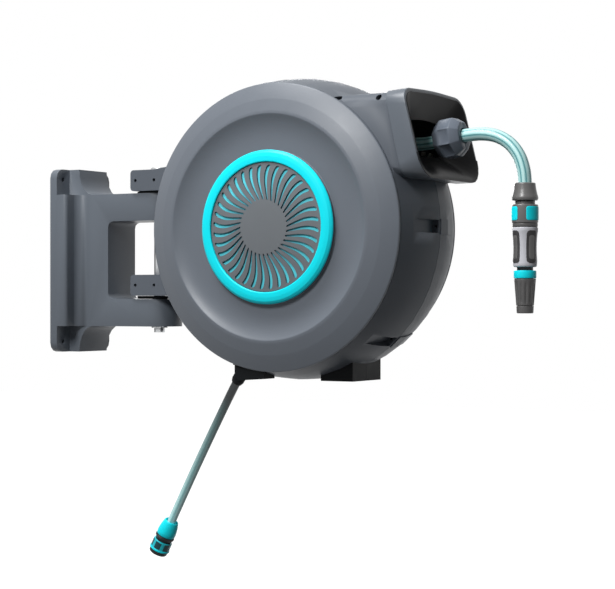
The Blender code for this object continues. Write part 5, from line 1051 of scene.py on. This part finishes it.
# %% Make wrapped pads
def wrapped_pad(name, middle, width, low, high, corner, radius_at, thickness, body, finish, place,
                direction):
    """A rounded plate centred at an angle, between two heights, wrapped round an axis."""
    deselect()
    height = high - low
    bpy.ops.mesh.primitive_plane_add(size=1.0, location=(0.0, 0.0, 0.0))
    piece = bpy.context.object
    piece.name = name
    piece.data.name = name
    bpy.ops.object.mode_set(mode='EDIT')
    bpy.ops.mesh.select_all(action='SELECT')
    bpy.ops.transform.resize(value=(width, height, 1.0))
    bpy.ops.mesh.bevel(offset=corner, offset_type='OFFSET', segments=5, affect='VERTICES')
    for k in range(1, 10):
        bpy.ops.mesh.select_all(action='SELECT')
        bpy.ops.mesh.bisect(plane_co=(width * (k / 10.0 - 0.5), 0.0, 0.0), plane_no=(1.0, 0.0, 0.0))
    for k in range(1, 8):
        bpy.ops.mesh.select_all(action='SELECT')
        bpy.ops.mesh.bisect(plane_co=(0.0, height * (k / 8.0 - 0.5), 0.0), plane_no=(0.0, 1.0, 0.0))
    bpy.ops.mesh.select_all(action='SELECT')
    bpy.ops.mesh.extrude_region_move(TRANSFORM_OT_translate={"value": (0.0, 0.0, thickness)})
    bpy.ops.mesh.select_all(action='SELECT')
    bpy.ops.mesh.normals_make_consistent(inside=False)
    bpy.ops.object.mode_set(mode='OBJECT')
    soft = piece.modifiers.new("soft edge", 'BEVEL')
    soft.width = 0.0005
    soft.segments = 2
    soft.limit_method = 'ANGLE'
    soft.angle_limit = math.radians(40.0)
    bpy.ops.object.modifier_apply(modifier="soft edge")
    for vert in piece.data.vertices:
        along = (low + high) / 2.0 + vert.co.y
        radius = radius_at(along)
        turn = math.radians(middle) + vert.co.x / radius
        reach = radius - thickness + vert.co.z
        vert.co = (reach * math.cos(turn), reach * math.sin(turn), along)
    stand(piece, place, direction)
    finished(piece, body, finish, 35.0)
    return piece


# %% [markdown]
# ## The quick connector and the nozzle
# Everything that hangs from the hose's end is round about one upright line. The heights are measured
# downwards from the top of each part, as they are on the solids. Most profiles are turned in 64 steps. The
# tip gets more, because flutes are pressed into it later, and its end sits in it with a short spigot.

# %% Turn the connector and the nozzle
NUT_TOP = 0.0960
CONNECTOR_TOP = 0.0722
TOOL_TOP = 0.0372
CONNECTOR_BODY = ((0.0, 0.0), (0.01325, 0.0), (0.01325, 0.0040), (0.0142, 0.0060), (0.0142, 0.0300),
                  (0.0169, 0.0300), (0.0169, 0.0340), (0.0160, 0.0350), (0.0089, 0.0350), (0.0089, 0.0186),
                  (0.0, 0.0186))
NUT = ((0.0093, 0.0), (0.0131, 0.0), (0.0140, 0.0010), (0.0142, 0.0035), (0.0150, 0.0090), (0.0163, 0.0150),
       (0.0174, 0.0185), (0.0177, 0.0200), (0.0174, 0.0218), (0.0164, 0.0235), (0.0093, 0.0235))
SLEEVE = ((0.0146, 0.0050), (0.0166, 0.0050), (0.0175, 0.0060), (0.0175, 0.0286), (0.0166, 0.0297),
          (0.0146, 0.0297))
GRIP = ((0.0, -0.0160), (0.0085, -0.0160), (0.0085, 0.0003), (0.0166, 0.0003), (0.0172, 0.0012),
        (0.0171, 0.0050), (0.0163, 0.0100), (0.0156, 0.0180), (0.0153, 0.0270), (0.0154, 0.0370),
        (0.0157, 0.0430), (0.0159, 0.0480), (0.0157, 0.0510), (0.0150, 0.0525), (0.0140, 0.0530),
        (0.0, 0.0530))
NECK = ((0.0, 0.0525), (0.0108, 0.0525), (0.0108, 0.0780), (0.0, 0.0780))
TIP_RING = ((0.01115, 0.0575), (0.0142, 0.0575), (0.0150, 0.0583), (0.0150, 0.0672), (0.0143, 0.0680),
            (0.01115, 0.0680))
TIP = ((0.01115, 0.0683), (0.0140, 0.0683), (0.0145, 0.0690), (0.01180, 0.1036), (0.0114, 0.1041),
       (0.0100, 0.1041), (0.0100, 0.1025), (0.00275, 0.1025), (0.00275, 0.0800), (0.01115, 0.0800))
TIP_END = ((0.0030, 0.1028), (0.0097, 0.1028), (0.0097, 0.1044), (0.0112, 0.1044), (0.0116, 0.1048),
           (0.0112, 0.1118), (0.0112, 0.1124), (0.0110, 0.1137), (0.0102, 0.1143), (0.0055, 0.1143))


def hung(name, profile, top, body, finish, node=None, steps=64, round_off=0.0004, is_ring=True):
    """Turn a profile measured downwards from a top on the nozzle's line."""
    upright = [(radius, -below) for radius, below in profile]
    return lathe(name, upright, steps, body, finish, (NOZZLE_X, 0.0, top), Z_AXIS, round_off=round_off,
                 segments=2, is_ring=is_ring, node=node)


hung("hose_nut_turned", NUT, NUT_TOP, "housing", tool_plastic, "hose_nut")
hung("connector_turned", CONNECTOR_BODY, CONNECTOR_TOP, "housing", tip_plastic,
     "hose_connector_body", is_ring=False)
hung("collar_turned", SLEEVE, CONNECTOR_TOP, "release_collar", tool_plastic,
     "release_collar")
hung("grip_turned", GRIP, TOOL_TOP, "nozzle", pale_plastic, "nozzle_body", is_ring=False)
hung("nozzle_neck", NECK, TOOL_TOP, "nozzle", dark_plastic, steps=48, round_off=0.0,
     is_ring=False)
hung("tip_ring_turned", TIP_RING, TOOL_TOP, "tip", cyan_plastic, "nozzle_ring")
tip = hung("tip_turned", TIP, TOOL_TOP, "tip", tip_plastic, "nozzle_tip", steps=144)
hung("tip_end_turned", TIP_END, TOOL_TOP, "tip", tip_plastic, round_off=0.0003)
print("the nozzle's end hangs at height:", round(TOOL_TOP - TIP_END[-1][1], 4))

# %% [markdown]
# ## A fluted tip
# The tip is fluted for wet fingers. It is cut level all round first, so that it can bend between its ends.
# Then a formula presses twelve shallow waves into it, which fade out at both ends.

# %% Flute the tip
FLUTES = 12
FLUTE_DEPTH = 0.0012
FLUTE_START = 0.0725
FLUTE_END = 0.1025


def press_flutes(piece, top, start, end):
    """Push the outside in where a wave round the piece is high."""
    for vert in piece.data.vertices:
        x = vert.co.x - NOZZLE_X
        radius = math.hypot(x, vert.co.y)
        share = (top - vert.co.z - start) / (end - start)
        if radius < 0.0100 or not 0.0 < share < 1.0:
            continue
        wave = 0.5 + 0.5 * math.cos(FLUTES * math.atan2(vert.co.y, x))
        depth = FLUTE_DEPTH * wave ** 2 * min(1.0, 8.0 * min(share, 1.0 - share))
        vert.co.x = NOZZLE_X + x * (radius - depth) / radius
        vert.co.y *= (radius - depth) / radius


def cut_rings(piece, top, start, end, count):
    """Cut a piece level all round, so that it can bend between its ends."""
    deselect()
    piece.select_set(True)
    bpy.context.view_layer.objects.active = piece
    bpy.ops.object.mode_set(mode='EDIT')
    for k in range(count + 1):
        bpy.ops.mesh.select_all(action='SELECT')
        level = top - start - (end - start) * k / count
        bpy.ops.mesh.bisect(plane_co=(0.0, 0.0, level), plane_no=(0.0, 0.0, 1.0))
    bpy.ops.object.mode_set(mode='OBJECT')
    deselect()


cut_rings(tip, TOOL_TOP, FLUTE_START, FLUTE_END, 12)
press_flutes(tip, TOOL_TOP, FLUTE_START, FLUTE_END)
print("faces of the tip:", len(tip.data.polygons))

# %% [markdown]
# ## Finger pads and grip panels
# The release collar has three bright finger pads. The nozzle has four soft rubber panels, each with a
# harder inlay. The panels follow the nozzle's waist, so their radius comes from a formula.

# %% Add the pads and panels
COLLAR_PADS = 3
GRIP_PANELS = 4
CONNECTOR_PLACE = (NOZZLE_X, 0.0, CONNECTOR_TOP)
TOOL_PLACE = (NOZZLE_X, 0.0, TOOL_TOP)


def grip_radius(along):
    """Outside of the grip panels, which follow the waist and stand a little proud of it."""
    share = (-along - 0.0045) / (0.0475 - 0.0045)
    return 0.0158 + 0.0015 * (2.0 * share - 1.0) ** 2 - 0.0006 * share


for k in range(COLLAR_PADS):
    wrapped_pad("collar_pad_%d" % (k + 1), -20.0 + 120.0 * k, width=0.0255, low=-0.0262, high=-0.0078,
                corner=0.0030, radius_at=lambda along: 0.0180, thickness=0.0014, body="release_collar",
                finish=cyan_plastic, place=CONNECTOR_PLACE, direction=Z_AXIS)
for k in range(GRIP_PANELS):
    wrapped_pad("grip_panel_%d" % (k + 1), -31.0 + 90.0 * k, width=0.0160, low=-0.0475, high=-0.0045,
                corner=0.0045, radius_at=grip_radius, thickness=0.0012, body="nozzle", finish=grip_rubber,
                place=TOOL_PLACE, direction=Z_AXIS)
    wrapped_pad("grip_inlay_%d" % (k + 1), -31.0 + 90.0 * k, width=0.0088, low=-0.0425, high=-0.0110,
                corner=0.0030, radius_at=lambda along: grip_radius(along) + 0.0004, thickness=0.0010,
                body="nozzle", finish=tool_plastic, place=TOOL_PLACE, direction=Z_AXIS)
print("pads and panels:", COLLAR_PADS + 2 * GRIP_PANELS)

# %% [markdown]
# ## The garden hose's length
# The length of the garden hose outside the mouth, from where it leaves the stop ball, is worked out.

round(line_length(outside), 4)

# %% [markdown]
# ## The supply hose's connector
# The connector at the supply hose's end leans with the hose. Its bright nut widens away from the hose like a
# small bell. Below it come a black ring, a teal collar with a bright rim and dark windows, and a dark end.

# %% Turn the supply connector
supply_along = (supply_line[-1] - supply_line[-2]).normalized()
supply_place = supply_line[-1] - supply_along * 0.010
SUPPLY_NUT = ((0.0068, 0.0085), (0.0084, 0.0015), (0.0091, 0.0002), (0.0098, 0.0002), (0.0108, 0.0022),
              (0.0123, 0.0080), (0.0134, 0.0145), (0.0138, 0.0190), (0.0135, 0.0225), (0.0127, 0.0240),
              (0.0068, 0.0240))
SUPPLY_BODY = ((0.0, 0.0243), (0.0132, 0.0243), (0.0141, 0.0250), (0.0141, 0.0261), (0.0137, 0.0264),
               (0.0141, 0.0267), (0.0141, 0.0272), (0.0134, 0.0278), (0.0112, 0.0280), (0.0112, 0.0478),
               (0.0134, 0.0478), (0.0134, 0.0520), (0.0126, 0.0533), (0.0085, 0.0533), (0.0085, 0.0373),
               (0.0, 0.0373))
SUPPLY_COLLAR = ((0.0116, 0.0321), (0.0128, 0.0321), (0.0135, 0.0326), (0.0137, 0.0336), (0.0138, 0.0440),
                 (0.0146, 0.0452), (0.0147, 0.0470), (0.0141, 0.0475), (0.0116, 0.0475))
SUPPLY_RIM = ((0.0140, 0.0448), (0.0149, 0.0451), (0.0149, 0.0471), (0.0140, 0.0475))


def on_supply(name, profile, body, finish, node=None, round_off=0.0004, is_ring=True):
    """Turn a profile measured along the supply hose from a place in its nut."""
    return lathe(name, profile, 64, body, finish, supply_place, supply_along, round_off=round_off,
                 segments=2, is_ring=is_ring, node=node)


on_supply("supply_nut_turned", SUPPLY_NUT, "housing", cyan_plastic, "supply_hose_nut")
on_supply("supply_body_turned", SUPPLY_BODY, "housing", dark_plastic,
          "supply_connector_body", is_ring=False)
on_supply("supply_collar_turned", SUPPLY_COLLAR, "supply_collar", teal_plastic,
          "supply_release_collar")
on_supply("supply_collar_rim", SUPPLY_RIM, "supply_collar", cyan_plastic, round_off=0.0002)
print("the supply connector points along:", [round(share, 3) for share in supply_along])

# %% [markdown]
# ## Dark windows, and the supply hose's length
# Six dark windows are wrapped round the collar like pads. After that the length of the supply hose outside
# the reel is worked out.

SUPPLY_WINDOWS = 6
for k in range(SUPPLY_WINDOWS):
    wrapped_pad("supply_window_%d" % (k + 1), -41.0 + 60.0 * k, width=0.0100, low=0.0335, high=0.0443,
                corner=0.0012, radius_at=lambda along: 0.0140, thickness=0.0014, body="supply_collar",
                finish=window_plastic, place=supply_place, direction=supply_along)
round(line_length(supply_outside), 4)

# %% [markdown]
# ## Floor and backdrop
# The photograph has no ground: the object stands in plain white. A pale floor lies well below. It glows
# white only for rays from the camera, from a reflection or through something clear, so no extra light falls
# on the object. Near the object the floor glows a little less and keeps its shadow.

# %% Lay the floor
FLOOR_SIZE = 16.0
FLOOR_PLACE = (0.4, 0.0, -0.75)
NEAR_GLOW = (0.78, 0.78, 0.78)


def floor_finish():
    """A pale floor that shines white for the camera and stays dull for the light on the object."""
    finish = Finish("pale_floor", (0.25, 0.25, 0.25), 0.9)
    path = "ShaderNodeLightPath"
    bounce = finish.node(path, {}, {}, "Is Diffuse Ray")
    tone = finish.mixed(finish.noise(1.5, 2.0), (0.245, 0.245, 0.247), (0.255, 0.255, 0.257))
    finish.set("Base Color", finish.mixed(bounce, tone, (0.07, 0.07, 0.07)))
    seen = finish.node(path, {}, {}, "Is Camera Ray")
    for ray in ("Is Glossy Ray", "Is Transmission Ray"):
        seen = seen.maths('MAXIMUM', finish.node(path, {}, {}, ray))
    far = finish.node("ShaderNodeVectorMath", {"operation": 'LENGTH'}, {0: finish.place}, "Value")
    white = finish.ramp(far * 0.2, ((0.26, NEAR_GLOW), (0.48, WHITE)))
    glow = finish.node("ShaderNodeEmission", {}, {"Color": white, "Strength": 1.0})
    nothing = finish.node("ShaderNodeEmission", {}, {"Color": BLACK, "Strength": 0.0})
    chosen = finish.node("ShaderNodeMixShader", {}, {0: seen, 1: nothing, 2: glow})
    plain = Signal(finish, finish.shader.outputs[0])
    total = finish.node("ShaderNodeAddShader", {}, {0: plain, 1: chosen})
    output = next(node for node in finish.tree.nodes if node.type == 'OUTPUT_MATERIAL')
    finish.tree.links.new(total.socket, output.inputs["Surface"])
    return finish


deselect()
bpy.ops.mesh.primitive_plane_add(size=FLOOR_SIZE, location=(0.0, 0.0, 0.0))
floor = bpy.context.object
floor.name = "floor"
floor.data.transform(Matrix.Translation(FLOOR_PLACE))
floor.data.materials.append(floor_finish().material)
print("floor at height:", FLOOR_PLACE[2])

# %% [markdown]
# ## The sky
# The world is a plain white sky. A Map Range node turns its strength down to a tenth for the light that
# falls on the object, and leaves it full for what the camera sees directly or in a reflection.

# %% Set the sky
SKY_STRENGTH = 0.10
world = bpy.data.worlds.new("studio")
bpy.context.scene.world = world
world.use_nodes = True
sky = world.node_tree.nodes["Background"]
paths = world.node_tree.nodes.new("ShaderNodeLightPath")
seen = paths.outputs["Is Camera Ray"]
for label in ("Is Glossy Ray", "Is Transmission Ray"):
    either = world.node_tree.nodes.new("ShaderNodeMath")
    either.operation = 'MAXIMUM'
    world.node_tree.links.new(seen, either.inputs[0])
    world.node_tree.links.new(paths.outputs[label], either.inputs[1])
    seen = either.outputs[0]
strength = world.node_tree.nodes.new("ShaderNodeMapRange")
world.node_tree.links.new(seen, strength.inputs["Value"])
strength.inputs["To Min"].default_value = SKY_STRENGTH
strength.inputs["To Max"].default_value = 1.0
world.node_tree.links.new(strength.outputs["Result"], sky.inputs["Strength"])
sky.inputs["Color"].default_value = (1.0, 1.0, 1.0, 1.0)
print("sky strength on the object:", SKY_STRENGTH)

# %% [markdown]
# ## Three soft lamps
# Two soft lamps hang in front and above, towards the wall side, so the right side and the underside stay
# dark. A weak third one behind gives the rear cover its form and hardly reaches what the photograph shows.

# %% Hang the lamps
def soft_light(name, towards, distance, size, power):
    """A square lamp in a direction from the reel, facing it."""
    lamp = bpy.data.lights.new(name, 'AREA')
    lamp.shape = 'SQUARE'
    lamp.size = size
    lamp.energy = power
    holder = bpy.data.objects.new(name, lamp)
    side = Vector(towards).normalized()
    holder.location = REEL + side * distance
    holder.rotation_euler = (-side).to_track_quat('-Z', 'Y').to_euler()
    bpy.context.scene.collection.objects.link(holder)


soft_light("front", (0.0, -0.80, 0.60), 2.8, 0.8, 62.0)
soft_light("overhead", (-0.25, -0.35, 0.90), 2.6, 1.0, 66.0)
soft_light("behind", (-0.55, 0.82, 0.18), 2.8, 1.0, 20.0)
print("lamps:", len(bpy.data.lights))
